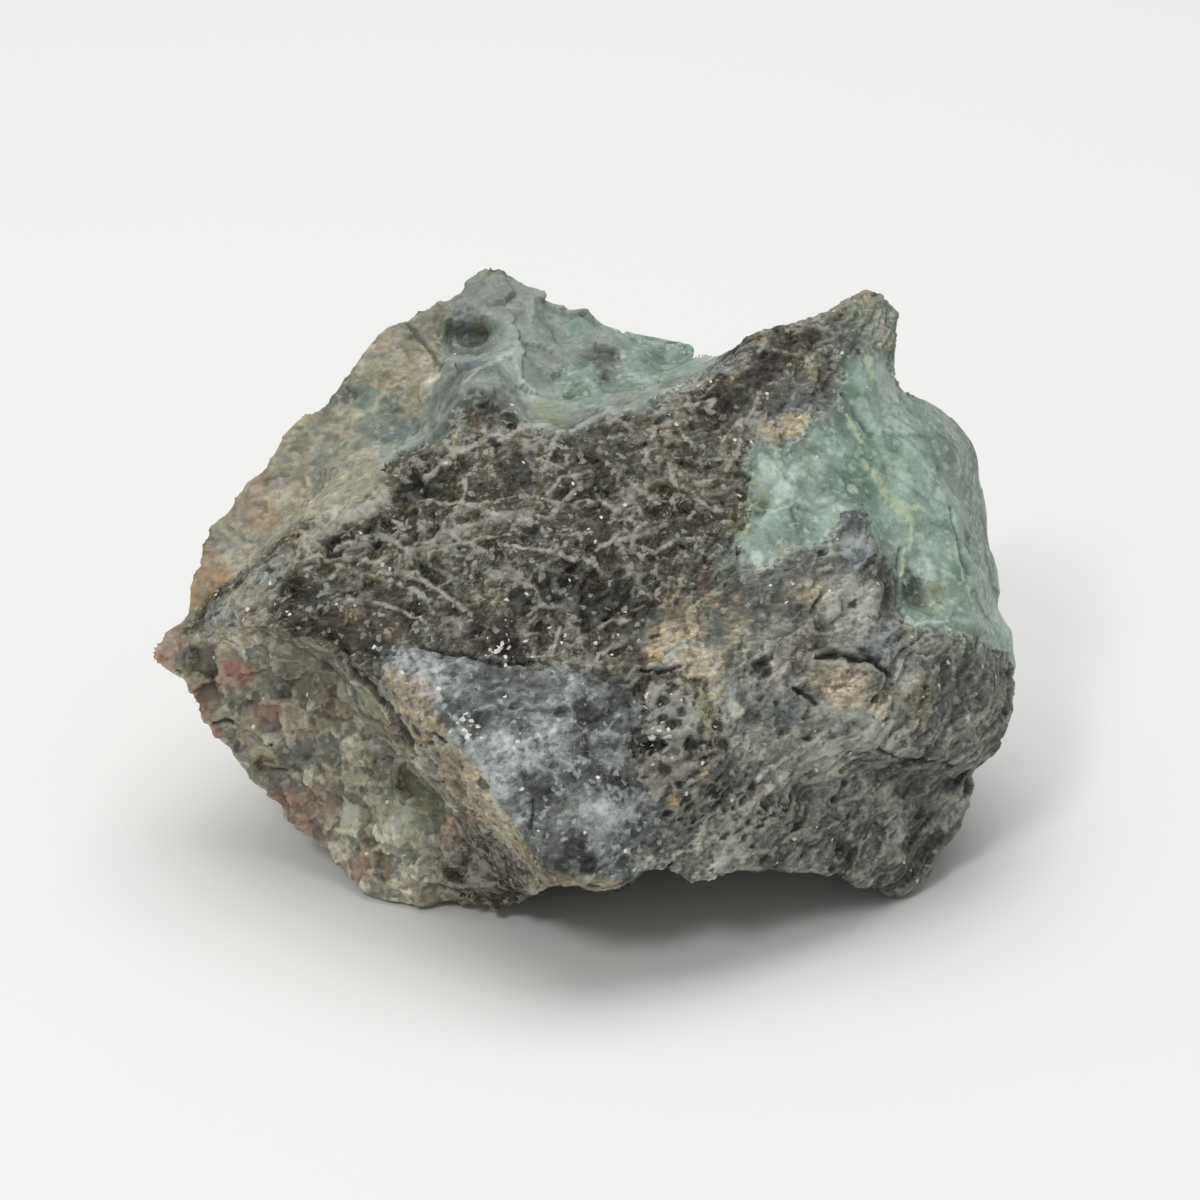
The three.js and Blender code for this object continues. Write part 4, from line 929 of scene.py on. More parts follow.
# %% Banded schist breaks along its layers
LAYER_MM = 0.9
LAYER_BEND = 0.45
LAYER_RUN_MM = 6.0
BANDED_MM = {"proud": 0.24, "step": 0.12, "flake": 0.08, "tilt": 0.2, "grain_tilt": 0.16, "wave": 0.06}
BANDED_PIT_MM = 0.15
BANDED_FRAY_MM = 0.05
mask = mineral == BANDED
here = lying[mask]
layer = here[:, 2] / LAYER_MM + LAYER_BEND * rugged(here, 3.0, 301)
layer_number = np.floor(layer)
run = np.floor(here[:, 0] / LAYER_RUN_MM + 0.3 * layer_number)
proud = drawn(np.stack([layer_number, run, 0 * run], axis=1), 311)
flakes, tilt, _ = crumbs(here / [1.3, 1.3, 0.4], 1.2, 321)
grains, grain_tilt, _ = crumbs(here / [1.2, 1.2, 0.5], 0.45, 331)
torn = curls(here / [2.8, 2.8, 0.7], 0.8, 0.14, 470) * ramp(rugged(here, 2.6, 474), -0.3, 0.5)
uneven = wandered(here, 0.16, 0.6, (476, 477, 478))
pit_with_painted_shade[mask], rims = fallen_out(uneven / [1.3, 1, 0.6], 0.75, 480, 0.02, scaly[mask])
frayed[mask] = np.maximum(torn, rims)
relief = stacked(BANDED_MM, proud=proud - 0.5, step=layer - layer_number, flake=flakes - 0.5, tilt=tilt,
                 grain_tilt=grain_tilt, wave=rugged(skin[mask], 1.1, 341))
heights[mask] = relief - BANDED_PIT_MM * pit_with_painted_shade[mask] + BANDED_FRAY_MM * frayed[mask]
flake[mask] = 0.4 * proud + 0.3 * flakes + 0.3 * grains
hue[mask] = 0.6 * hue[mask] + 0.4 * proud
print("banded relief in mm", relief.min().round(2), relief.max().round(2))

# %% [markdown]
# Peak and valley at the back are a soapy chlorite rock, the smoothest part of the lump.

# %% Soapy chlorite rock is smooth
SOAPY_MM = {"wave": 0.1, "block_tilt": 0.2, "grain_tilt": 0.1}
mask = mineral == SOAPY
here = skin[mask]
grains, grain_tilt, _ = crumbs(here, 0.6, 351)
blocks, block_tilt, _ = crumbs(here, 2.3, 361)
relief = stacked(SOAPY_MM, wave=rugged(here, 2.4, 371), block_tilt=block_tilt, grain_tilt=grain_tilt)
heights[mask] = relief
flake[mask] = 0.5 * grains + 0.5 * blocks
print("soapy relief in mm", relief.min().round(2), relief.max().round(2))

# %% [markdown]
# Wisps stand up a little, cracks and dark pits sink in. Thin edges take less of the relief, so that they
# don't turn into thorns, and where the lump rests on the table it stays flat. The skin is moved along its
# normals, and the result never leaves the solid's box.

# %% Move the skin
WISP_RISE_MM = 0.04
STREAK_RISE_MM = 0.03
CRACK_DEPTH_MM = 0.26
PIT_DEPTH_MM = 0.16
BLUNTING = 0.2
CALMING = 0.85
THINNING = 0.65
FOOT_MM = 0.35
FLAT_MM = 0.05
ROOM_MM = 0.1
THIN_ROUNDS = 24
THIN_MM = 0.25
thinness = ((skin - melted(skin, THIN_ROUNDS)) * outward).sum(axis=1) / THIN_MM
heights = (1 - BLUNTING) * heights + BLUNTING * melted(heights, 1)
heights *= (1 - CALMING * calm) * (1 - THINNING * ramp(thinness, 0.3, 1.2))
heights += WISP_RISE_MM * wisp + STREAK_RISE_MM * streak - CRACK_DEPTH_MM * crack_and_painted_shadow
heights -= PIT_DEPTH_MM * dark * (mineral != BERYL)
heights *= ramp(skin[:, 2], FLAT_MM, FOOT_MM)
moved = skin + outward * heights[:, None]
low = np.array(cad_box[0]) / MM
high = np.array(cad_box[1]) / MM
moved = np.clip(moved, low - [ROOM_MM, ROOM_MM, 0], high + ROOM_MM)
normals = facing(moved)
print("skin now spans", moved.min(axis=0).round(2), moved.max(axis=0).round(2))

# %% [markdown]
# Edges of broken rock are bleached and rubbed, so they are lighter. Its hollows are darker, and that dark
# is painted shade. The difference between the skin and a melted copy of it tells the two apart at two
# scales. Near a border the minerals mix, so every point also learns how near each mineral is.

# %% Worn edges, painted shade in hollows, and neighbours
FINE_ROUNDS = 3
FINE_EDGE_MM = 0.04
WIDE_ROUNDS = 40
WIDE_EDGE_MM = 0.3
MIXING_ROUNDS = 36
NEIGHBOURS = ("near_mica", "near_slab", "near_beryl", "near_feldspar", "near_weathered", "near_banded",
              "near_soapy")
fine_edge = ((moved - melted(moved, FINE_ROUNDS)) * normals).sum(axis=1) / FINE_EDGE_MM
wide_edge = ((moved - melted(moved, WIDE_ROUNDS)) * normals).sum(axis=1) / WIDE_EDGE_MM
# Lighter on worn edges, and darker in hollows, which is painted shade.
wear_and_painted_shade = np.clip(0.5 + 0.25 * fine_edge + 0.35 * wide_edge, 0, 1)
members = np.stack([(mineral == kind).astype(float) for kind in range(MINERAL_COUNT)], axis=1)
nearby = melted(members, MIXING_ROUNDS)
print("mean wear", wear_and_painted_shade.mean().round(3), "points near a border", int((nearby.max(axis=1) < 0.8).sum()))

# %% [markdown]
# One lump of rock, but a finish for each mineral. The skin is cut where one mineral meets the next, and
# every part keeps the normals of the whole, so no seam shows.

# %% Cut the skin by mineral
MARKS = {
    "ochre": ochre, "pink": pink, "olive": olive, "deep_green_and_painted_shade": deep_green_and_painted_shade, "green": green, "blue": blue,
    "pale": pale, "dark": dark, "painted_glint": painted_glint, "band": band, "dusty": dusty, "wisp": wisp,
    "streak": streak, "crack_and_painted_shadow": crack_and_painted_shadow, "frayed": frayed, "pit_with_painted_shade": pit_with_painted_shade, "tone_and_painted_light": tone_and_painted_light, "flake": flake,
    "hue": hue, "wear_and_painted_shade": wear_and_painted_shade,
}
MARKS.update({name: nearby[:, kind] for kind, name in enumerate(NEIGHBOURS)})


def cut_out(name, kind):
    """The part of the skin that is one mineral, as a piece with its marks as attributes."""
    chosen = squares[mineral[squares[:, 0]] == kind]
    used, corners = np.unique(chosen, return_inverse=True)
    mesh = bpy.data.meshes.new(name)
    mesh.vertices.add(len(used))
    mesh.vertices.foreach_set("co", (moved[used] * MM).ravel())
    mesh.loops.add(len(chosen) * 4)
    mesh.loops.foreach_set("vertex_index", corners.ravel().astype(np.int32))
    mesh.polygons.add(len(chosen))
    mesh.polygons.foreach_set("loop_start", np.arange(0, len(chosen) * 4, 4, dtype=np.int32))
    mesh.polygons.foreach_set("loop_total", np.full(len(chosen), 4, np.int32))
    mesh.update(calc_edges=True)
    mesh.validate()
    mesh.shade_smooth()
    mesh.normals_split_custom_set_from_vertices(normals[used])
    for mark, values in MARKS.items():
        layer = mesh.attributes.new(mark, "FLOAT", "POINT")
        layer.data.foreach_set("value", values[used].astype(np.float32))
    piece = bpy.data.objects.new(name, mesh)
    bpy.context.scene.collection.objects.link(piece)
    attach(piece, BODY)
    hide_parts(STONE)
    print(name, "has", len(used), "points and", len(chosen) * 2, "triangles")
    return piece


mica_face = cut_out("dark_mica_schist", MICA)
slab = cut_out("chlorite_slab", SLAB)
beryl = cut_out("emerald", BERYL)
feldspar = cut_out("feldspar_crust", FELDSPAR)
slope = cut_out("weathered_slope", WEATHERED)
banded = cut_out("banded_schist", BANDED)
soapy = cut_out("chlorite_peak", SOAPY)

# %% [markdown]
# Every finish is made of nodes. One small function adds a node with its settings and links, and another
# turns the hex colours that one reads from a picture into the linear values that light works with.

# %% Nodes and colours
def linear(hex_colour):
    """An sRGB hex colour as linear red, green, blue and alpha."""
    shares = [int(hex_colour[k:k + 2], 16) / 255 for k in (1, 3, 5)]
    return [s / 12.92 if s <= 0.04045 else ((s + 0.055) / 1.055) ** 2.4 for s in shares] + [1.0]


def add(tree, kind, links=None, values=None, **settings):
    """One node with its settings, its socket values and its links."""
    node = tree.nodes.new(kind)
    for key, value in settings.items():
        setattr(node, key, value)
    for key, value in (values or {}).items():
        node.inputs[key].default_value = value
    for key, socket in (links or {}).items():
        tree.links.new(socket, node.inputs[key])
    return node


FACTOR, COLOUR_A, COLOUR_B, COLOUR_OUT = 0, 6, 7, 2
print("linear mid grey", [round(v, 3) for v in linear("#808080")])

# %% [markdown]
# All finishes draw on the same kinds of texture, each at the size of its own grains: patches of hue, fine
# unevenness, fibres and flat flakes along the foliation, thin curled threads, specks, and the cells of
# the painted sparks. The sizes are in millimetres of the real rock.

# %% Textures at the size of the grains
FOLIATION_TURN = Vector(FOLIATION).rotation_difference(Vector((0, 0, 1))).to_euler()
FLAKE_FLATNESS = 1.8
THREAD_MM = 1.2
SPARK_MM = 0.2
STIR_EVERY_MM = 3.5
STIR_MM = 1.4
ZONE_WIDTH = 2.5
FINE_A_GRAIN = 1.4
SPECKS_A_GRAIN = 1.2
SPECK_FRAY = 1.2


def textures(tree, patch_mm, grain_mm, fibre_mm):
    """Sockets of noise and cells, by name."""
    place = add(tree, "ShaderNodeTexCoord").outputs["Object"]
    mm = add(tree, "ShaderNodeVectorMath", {0: place}, {1: (1 / MM,) * 3}, operation="MULTIPLY").outputs[0]
    lying_mm = add(tree, "ShaderNodeVectorRotate", {"Vector": mm}, {"Rotation": FOLIATION_TURN},
                   rotation_type="EULER_XYZ").outputs[0]
    stir = add(tree, "ShaderNodeTexNoise", {"Vector": mm}, {"Scale": 1 / STIR_EVERY_MM, "Detail": 2})
    stirred = add(tree, "ShaderNodeVectorMath", {0: stir.outputs["Color"], 2: lying_mm},
                  {1: (STIR_MM,) * 3}, operation="MULTIPLY_ADD")
    stretched = add(tree, "ShaderNodeVectorMath", {0: stirred.outputs[0]},
                    {1: (1 / fibre_mm[0], 1 / fibre_mm[1], 1 / fibre_mm[1])}, operation="MULTIPLY")
    flattened = add(tree, "ShaderNodeVectorMath", {0: lying_mm},
                    {1: (1 / grain_mm, 1 / grain_mm, FLAKE_FLATNESS / grain_mm)}, operation="MULTIPLY")
    patches = add(tree, "ShaderNodeTexNoise", {"Vector": mm},
                  {"Scale": 1 / patch_mm, "Detail": 6, "Roughness": 0.65})
    zones = add(tree, "ShaderNodeTexNoise", {"Vector": mm},
                {"Scale": 1 / (ZONE_WIDTH * patch_mm), "Detail": 3})
    fine = add(tree, "ShaderNodeTexNoise", {"Vector": mm},
               {"Scale": FINE_A_GRAIN / grain_mm, "Detail": 5, "Roughness": 0.75})
    fibres = add(tree, "ShaderNodeTexNoise", {"Vector": stretched.outputs[0]},
                 {"Scale": 1.0, "Detail": 5, "Roughness": 0.7, "Distortion": 0.25})
    threads = add(tree, "ShaderNodeTexNoise", {"Vector": lying_mm},
                  {"Scale": 1 / THREAD_MM, "Detail": 2, "Roughness": 0.6, "Distortion": 1.6})
    grains = add(tree, "ShaderNodeTexVoronoi", {"Vector": flattened.outputs[0]}, {"Scale": 1.0})
    ragged = add(tree, "ShaderNodeVectorMath", {0: fine.outputs["Color"], 2: lying_mm},
                 {1: (SPECK_FRAY * grain_mm,) * 3}, operation="MULTIPLY_ADD")
    specks = add(tree, "ShaderNodeTexVoronoi", {"Vector": ragged.outputs[0]},
                 {"Scale": SPECKS_A_GRAIN / grain_mm})
    sparks = add(tree, "ShaderNodeTexVoronoi", {"Vector": mm}, {"Scale": 1 / SPARK_MM})
    grain = add(tree, "ShaderNodeSeparateColor", {0: grains.outputs["Color"]})
    speck = add(tree, "ShaderNodeSeparateColor", {0: specks.outputs["Color"]})
    spark = add(tree, "ShaderNodeSeparateColor", {0: sparks.outputs["Color"]})
    return {
        "patches": patches.outputs["Fac"], "zones": zones.outputs["Fac"], "fine": fine.outputs["Fac"],
        "fibres": fibres.outputs["Fac"], "threads": threads.outputs["Fac"], "grain": grain.outputs[0],
        "flash": grain.outputs[1], "polish": grain.outputs[2], "lean": grains.outputs["Color"],
        "speck": speck.outputs[0], "spark": spark.outputs[0],
    }


print("threads every", THREAD_MM, "mm, sparks of", SPARK_MM, "mm")

# %% [markdown]
# Tones are laid over each other as a painter would: a mark says where, fine noise frays its border, and
# the strength says how much of what lies below still shows.

# %% Laying tones over a colour
FRAYING = 2.2
STAIN_REACH = (0.1, 0.85)
COVER_REACH = (0.25, 0.95)


def laid_over(tree, colour, tones, sockets, reach):
    """The colour with tones over it. tones lists a mark, a hex tone and a strength."""
    for mark, tone, strength in tones:
        fraying = add(tree, "ShaderNodeMath", {0: sockets["fine"]}, {1: FRAYING, 2: 1 - 0.5 * FRAYING},
                      operation="MULTIPLY_ADD")
        frayed_mark = add(tree, "ShaderNodeMath", {0: sockets[mark], 1: fraying.outputs[0]},
                          operation="MULTIPLY")
        share = add(tree, "ShaderNodeMapRange", {"Value": frayed_mark.outputs[0]},
                    {"From Min": reach[0], "From Max": reach[1], "To Max": strength})
        colour = add(tree, "ShaderNodeMix", {FACTOR: share.outputs[0], COLOUR_A: colour},
                     {COLOUR_B: linear(tone)}, data_type="RGBA").outputs[COLOUR_OUT]
    return colour


print("stains fade in from", STAIN_REACH, "and covers from", COVER_REACH)

# %% [markdown]
# Rock tones vary by factors: a flake in shadow isn't a step darker but half as bright. So everything that
# lightens or darkens the colour, the rock's own tones and the painted light and shade alike, is added up as
# powers of two.

# %% Light and dark
NOISE_SWING = 4.0
NOISES = ("fine", "fibres", "zones")
BRIGHTEST = 1.5


def brightness(tree, sockets, light):
    """A factor of about 1. light says by how many powers of two each source swings it."""
    swings = [(sockets[name], weight * (NOISE_SWING if name in NOISES else 1.0))
              for name, weight in light.items()]
    middle = sum(0.5 * weight for _, weight in swings)
    # The sum starts from the broad tones, which hold painted light and shade.
    total = add(tree, "ShaderNodeMath", {0: sockets["tone_and_painted_light"]}, {1: middle}, operation="SUBTRACT").outputs[0]
    for socket, weight in swings:
        total = add(tree, "ShaderNodeMath", {0: socket, 2: total}, {1: weight},
                    operation="MULTIPLY_ADD").outputs[0]
    total = add(tree, "ShaderNodeMath", {0: total}, {1: BRIGHTEST}, operation="MINIMUM").outputs[0]
    return add(tree, "ShaderNodeMath", {1: total}, {0: 2.0}, operation="POWER").outputs[0]


print("at most", round(2 ** BRIGHTEST, 2), "times as bright")

# %% [markdown]
# The hue comes first. A mineral's own hues alternate in patches, its neighbours' tones come in where
# minerals mix, and stains lie over both.

# %% Hues and stains
HUE_REACH = (0.55, 1.45)
MIXING_STRENGTH = 0.9
NEIGHBOUR_TONES = dict(zip(NEIGHBOURS, ("#4c4a44", "#6d7475", "#87968c", "#79745f", "#97947f", "#73716a",
                                        "#868e86")))


def stained(tree, own, hues, stains, sockets):
    """The colour of one mineral before any light and dark."""
    place = add(tree, "ShaderNodeMath", {0: sockets["hue"], 1: sockets["patches"]}, operation="ADD")
    place = add(tree, "ShaderNodeMapRange", {"Value": place.outputs[0]},
                {"From Min": HUE_REACH[0], "From Max": HUE_REACH[1]})
    hue_ramp = add(tree, "ShaderNodeValToRGB", {0: place.outputs[0]})
    stops = hue_ramp.color_ramp.elements
    stops[0].color = linear(hues[0])
    stops[1].color = linear(hues[-1])
    for number, tone in enumerate(hues[1:-1], 1):
        stops.new(number / (len(hues) - 1)).color = linear(tone)
    neighbours = [(mark, tone, MIXING_STRENGTH) for mark, tone in NEIGHBOUR_TONES.items() if mark != own]
    return laid_over(tree, hue_ramp.outputs[0], neighbours + stains, sockets, STAIN_REACH)


print("tones of the neighbours", NEIGHBOUR_TONES)

# %% [markdown]
# Over the hue lie small things of one tone each: thin threads where a noise passes through its middle,
# and dark and pale specks, which are the darkest and palest cells of a cell texture.

# %% Threads and specks
THREAD_WIDTH = 0.02
ZONE_REACH = (0.42, 0.58)
FUZZ_REACH = (0.4, 0.6)


def peppered(tree, colour, threads, specks, sockets):
    """The colour with threads (a tone, a strength) and specks (two tones with shares, a strength)."""
    off_line = add(tree, "ShaderNodeMath", {0: sockets["threads"]}, {1: 0.5, 2: THREAD_WIDTH},
                   operation="COMPARE")
    in_zone = add(tree, "ShaderNodeMapRange", {"Value": sockets["zones"]},
                  {"From Min": ZONE_REACH[0], "From Max": ZONE_REACH[1]})
    fuzzy = add(tree, "ShaderNodeMapRange", {"Value": sockets["fine"]},
                {"From Min": FUZZ_REACH[0], "From Max": FUZZ_REACH[1]})
    thread = add(tree, "ShaderNodeMath", {0: off_line.outputs[0], 1: in_zone.outputs[0]},
                 operation="MULTIPLY")
    thread = add(tree, "ShaderNodeMath", {0: thread.outputs[0], 1: fuzzy.outputs[0]}, operation="MULTIPLY")
    dark_tone, dark_share, pale_tone, pale_share, strength = specks
    dark_speck = add(tree, "ShaderNodeMath", {0: sockets["speck"]}, {1: dark_share}, operation="LESS_THAN")
    pale_speck = add(tree, "ShaderNodeMath", {0: sockets["speck"]}, {1: 1 - pale_share},
                     operation="GREATER_THAN")
    for share, tone, most in ((thread, threads[0], threads[1]), (dark_speck, dark_tone, strength),
                              (pale_speck, pale_tone, strength)):
        part = add(tree, "ShaderNodeMath", {0: share.outputs[0]}, {1: most}, operation="MULTIPLY")
        colour = add(tree, "ShaderNodeMix", {FACTOR: part.outputs[0], COLOUR_A: colour},
                     {COLOUR_B: linear(tone)}, data_type="RGBA").outputs[COLOUR_OUT]
    return colour


print("threads take", THREAD_WIDTH, "of the noise to each side")

# %% [markdown]
# Mica flakes that face the lamp are far brighter than anything beside them. That brightness is painted
# into the colour as highlights: a few cells turn near white as tiny sparks, likelier where the photograph
# shows glints, and there whole flakes flash too.

# %% Painted sparks and flashes
# The near-white tone of the painted highlights.
PAINTED_SPARK_TONE = "#dedcd2"
SPARKS_BY_GLINT = 0.035
FLASH_ABOVE = 0.76


def painted_glitter(tree, colour, sparkle, sockets):
    """The colour with painted highlights. sparkle is the share of sparks where no glint is marked."""
    glinting = add(tree, "ShaderNodeMath", {0: sockets["painted_glint"], 1: sockets["painted_glint"]}, operation="MULTIPLY")
    glitter = add(tree, "ShaderNodeMath", {0: glinting.outputs[0], 2: sockets["spark"]},
                  {1: SPARKS_BY_GLINT}, operation="MULTIPLY_ADD")
    glitter = add(tree, "ShaderNodeMath", {0: glitter.outputs[0]}, {1: 1 - sparkle},
                  operation="GREATER_THAN")
    flash = add(tree, "ShaderNodeMath", {0: glinting.outputs[0], 1: sockets["flash"]}, operation="MULTIPLY")
    flash = add(tree, "ShaderNodeMath", {0: flash.outputs[0]}, {1: FLASH_ABOVE}, operation="GREATER_THAN")
    glitter = add(tree, "ShaderNodeMath", {0: glitter.outputs[0], 1: flash.outputs[0]}, operation="MAXIMUM")
    return add(tree, "ShaderNodeMix", {FACTOR: glitter.outputs[0], COLOUR_A: colour},
               {COLOUR_B: linear(PAINTED_SPARK_TONE)}, data_type="RGBA").outputs[COLOUR_OUT]


print("a whole flake flashes above", FLASH_ABOVE)

# %% [markdown]
# The surface is bumped by the fine noise and the fibres. Each grain also leans a little, so that some
# flakes mirror the lamp and their neighbours don't.

# %% Leaning grains
def grain_normal(tree, tilt, bump_mm, sockets):
    """The socket of a normal that is bumped and leans grain by grain."""
    height = add(tree, "ShaderNodeMath", {0: sockets["fine"], 1: sockets["fibres"]}, operation="ADD")
    bumped = add(tree, "ShaderNodeBump", {"Height": height.outputs[0]},
                 {"Strength": 1.0, "Distance": bump_mm * MM})
    leaning = add(tree, "ShaderNodeVectorMath", {0: sockets["lean"]}, {1: (0.5, 0.5, 0.5)},
                  operation="SUBTRACT")
    leaning = add(tree, "ShaderNodeVectorMath", {0: leaning.outputs[0], 2: bumped.outputs[0]},
                  {1: (tilt, tilt, tilt)}, operation="MULTIPLY_ADD")
    return add(tree, "ShaderNodeVectorMath", {0: leaning.outputs[0]}, operation="NORMALIZE").outputs[0]


print("grains lean by their cell's own colour")

# %% [markdown]
# A finish puts these together. Broken rock hides much of the room from its own faces, so it mirrors less
# than a polished stone would. Beryl and feldspar also let light a little way in, which is their depth.

# %% One mineral's finish
def mineral_finish(name, own, hues, patch_mm, grain_mm, fibre_mm, light, stains, covers, threads, specks,
                   sparkle, gloss, mirror, tilt, bump_mm, ior, depth=None):
    """A rock's material. Hues alternate in patches, stains change the hue, covers lie on top of it."""
    material = bpy.data.materials.new(name)
    material.use_nodes = True
    tree = material.node_tree
    surface = tree.nodes["Principled BSDF"]
    sockets = textures(tree, patch_mm, grain_mm, fibre_mm)
    for mark in MARKS:
        sockets[mark] = add(tree, "ShaderNodeAttribute", attribute_name=mark).outputs["Fac"]

    # Stains include the deep green spots, part of which is painted shade.
    colour = stained(tree, own, hues, stains, sockets)
    # Brightness holds painted light and shade: the broad tones and the darker hollows.
    factor = brightness(tree, sockets, light)
    colour = add(tree, "ShaderNodeVectorMath", {0: colour, "Scale": factor}, operation="SCALE").outputs[0]
    colour = peppered(tree, colour, threads, specks, sockets)
    # Covers hold painted shade in dark spots, pits and shadow lines, and painted light in a few pale spots.
    colour = laid_over(tree, colour, covers, sockets, COVER_REACH)
    # Painted highlights: near-white sparks and flashing flakes.
    colour = painted_glitter(tree, colour, sparkle, sockets)
    tree.links.new(colour, surface.inputs["Base Color"])

    rough = add(tree, "ShaderNodeMapRange", {"Value": sockets["polish"]},
                {"To Min": gloss[0], "To Max": gloss[1]})
    tree.links.new(rough.outputs[0], surface.inputs["Roughness"])
    tree.links.new(grain_normal(tree, tilt, bump_mm, sockets), surface.inputs["Normal"])
    surface.inputs["IOR"].default_value = ior
    surface.inputs["Specular IOR Level"].default_value = mirror
    if depth:
        surface.inputs["Subsurface Weight"].default_value = depth[0]
        surface.inputs["Subsurface Radius"].default_value = depth[1]
        surface.inputs["Subsurface Scale"].default_value = MM
    print(name, "has", len(tree.nodes), "nodes")
    return material

# %% [markdown]
# Dark mica schist: biotite, a black-brown mica, broken across and along its flakes. The flake faces shine
# like lacquer and the broken edges are dusty grey, so the eye gets sparks on black between wisps. The
# brightest sparks are painted highlights.

# %% Finish of the dark mica
mica_finish = mineral_finish(
    "broken_biotite_schist", "near_mica",
    hues=("#231e17", "#383225", "#4a483b", "#5b5c56", "#473b28", "#6c6c61", "#302b23"),
    patch_mm=1.6, grain_mm=0.36, fibre_mm=(1.1, 0.3),
    light={"fine": 0.7, "fibres": 1.0, "grain": 0.6, "flake": 1.2, "wear_and_painted_shade": 1.5, "zones": 1.5},
    stains=[("ochre", "#7f6c4c", 0.7), ("olive", "#6b6c4b", 0.7), ("pink", "#6f5248", 0.7),
            ("blue", "#59636a", 0.7), ("deep_green_and_painted_shade", "#3f4a3f", 0.6), ("green", "#65705f", 0.7)],
    covers=[("pale", "#a9a89d", 0.75), ("frayed", "#a19f94", 0.75), ("wisp", "#b0aea2", 0.8),
            ("dark", "#161411", 0.85), ("pit_with_painted_shade", "#121110", 0.8), ("crack_and_painted_shadow", "#12100d", 0.9)],
    threads=("#a19f94", 0.75), specks=("#14120f", 0.12, "#b5b3a8", 0.08, 0.5), sparkle=0.002,
    gloss=(0.16, 0.55), mirror=0.22, tilt=0.8, bump_mm=0.06, ior=1.58)
mica_face.data.materials.append(mica_finish)

# %% [markdown]
# The slab: chlorite and muscovite rubbed along the foliation. Grey, with a silky sheen from fine flakes
# that nearly agree in direction.

# %% Finish of the slab
slab_finish = mineral_finish(
    "rubbed_chlorite_muscovite", "near_slab",
    hues=("#2a2b2a", "#494c4a", "#656a68", "#808683", "#525452", "#6f736f"),
    patch_mm=1.6, grain_mm=0.34, fibre_mm=(0.9, 0.28),
    light={"fine": 0.5, "fibres": 0.8, "grain": 0.45, "flake": 0.7, "wear_and_painted_shade": 1.0, "zones": 1.3},
    stains=[("ochre", "#8f8060", 0.7), ("olive", "#85876c", 0.6), ("pink", "#a38f89", 0.65),
            ("band", "#8d8369", 0.93), ("green", "#6f7a70", 0.7)],
    covers=[("pale", "#aab0ae", 0.6), ("frayed", "#a6adac", 0.6), ("wisp", "#b4bab9", 0.75),
            ("dark", "#1c1c1b", 0.85), ("pit_with_painted_shade", "#1b1b1a", 0.75), ("crack_and_painted_shadow", "#191715", 0.9)],
    threads=("#a3aaa9", 0.65), specks=("#1d1e1e", 0.1, "#b6bcba", 0.09, 0.5), sparkle=0.002,
    gloss=(0.2, 0.5), mirror=0.3, tilt=0.6, bump_mm=0.05, ior=1.58)
slab.data.materials.append(slab_finish)

# %% [markdown]
# Rough emerald: green beryl, cloudy with tiny inclusions. Its chipped faces are glassy but scattered, and
# light goes a little way in, which makes the green glow.

# %% Finish of the emerald
beryl_finish = mineral_finish(
    "chipped_cloudy_beryl", "near_beryl",
    hues=("#566a5c", "#6c8073", "#7c9083", "#8da096", "#738579", "#98a89d"),
    patch_mm=2.4, grain_mm=0.42, fibre_mm=(0.9, 1.4),
    light={"fine": 0.22, "fibres": 0.18, "grain": 0.14, "flake": 0.3, "wear_and_painted_shade": 0.6, "zones": 0.35},
    stains=[("ochre", "#8a8262", 0.6), ("olive", "#76805a", 0.65), ("deep_green_and_painted_shade", "#3c4f36", 0.9),
            ("blue", "#7b8486", 0.7), ("pink", "#9a8a80", 0.6), ("dusty", "#728077", 0.7)],
    covers=[("dark", "#3c463e", 0.6), ("pale", "#bfcabd", 0.75), ("streak", "#b3bf9c", 0.85),
            ("wisp", "#b4bdb2", 0.5), ("crack_and_painted_shadow", "#46524a", 0.6)],
    threads=("#a9b9ad", 0.35), specks=("#4f6155", 0.03, "#bdc9bd", 0.1, 0.4), sparkle=0.0006,
    gloss=(0.2, 0.45), mirror=0.5, tilt=0.3, bump_mm=0.03, ior=1.58, depth=(0.2, (0.7, 1.0, 0.85)))
beryl.data.materials.append(beryl_finish)

# %% [markdown]
# The crust in the hollow: feldspar and quartz, broken grain by grain. Each grain has its own tone, from
# smoky grey to yellow-green, flesh pink where iron stained it, and waxy rather than shiny.

# %% Finish of the feldspar crust
feldspar_finish = mineral_finish(
    "broken_feldspar_quartz", "near_feldspar",
    hues=("#45413a", "#6b6150", "#837c66", "#5f625b", "#a09d8a", "#756856", "#8f9385"),
    patch_mm=1.8, grain_mm=0.4, fibre_mm=(0.8, 0.8),
    light={"fine": 0.32, "fibres": 0.2, "grain": 0.25, "flake": 0.7, "wear_and_painted_shade": 1.1, "zones": 0.4},
    stains=[("olive", "#8c8c6a", 0.75), ("ochre", "#98886a", 0.7), ("deep_green_and_painted_shade", "#4f564a", 0.75),
            ("blue", "#646a6a", 0.7), ("pink", "#956b5d", 0.75), ("green", "#77806f", 0.7)],
    covers=[("pale", "#b5b6ab", 0.75), ("wisp", "#a8a498", 0.6), ("dark", "#221f1b", 0.8),
            ("crack_and_painted_shadow", "#1a1714", 0.85)],
    threads=("#a9a595", 0.3), specks=("#3a352e", 0.06, "#b3af9f", 0.07, 0.35), sparkle=0.0008,
    gloss=(0.28, 0.55), mirror=0.45, tilt=0.3, bump_mm=0.04, ior=1.53, depth=(0.1, (1.0, 0.8, 0.6)))
feldspar.data.materials.append(feldspar_finish)

# %% [markdown]
# The left slope: the same feldspar rock, weathered. Beige and olive, rusty where iron washed out, and
# matt.

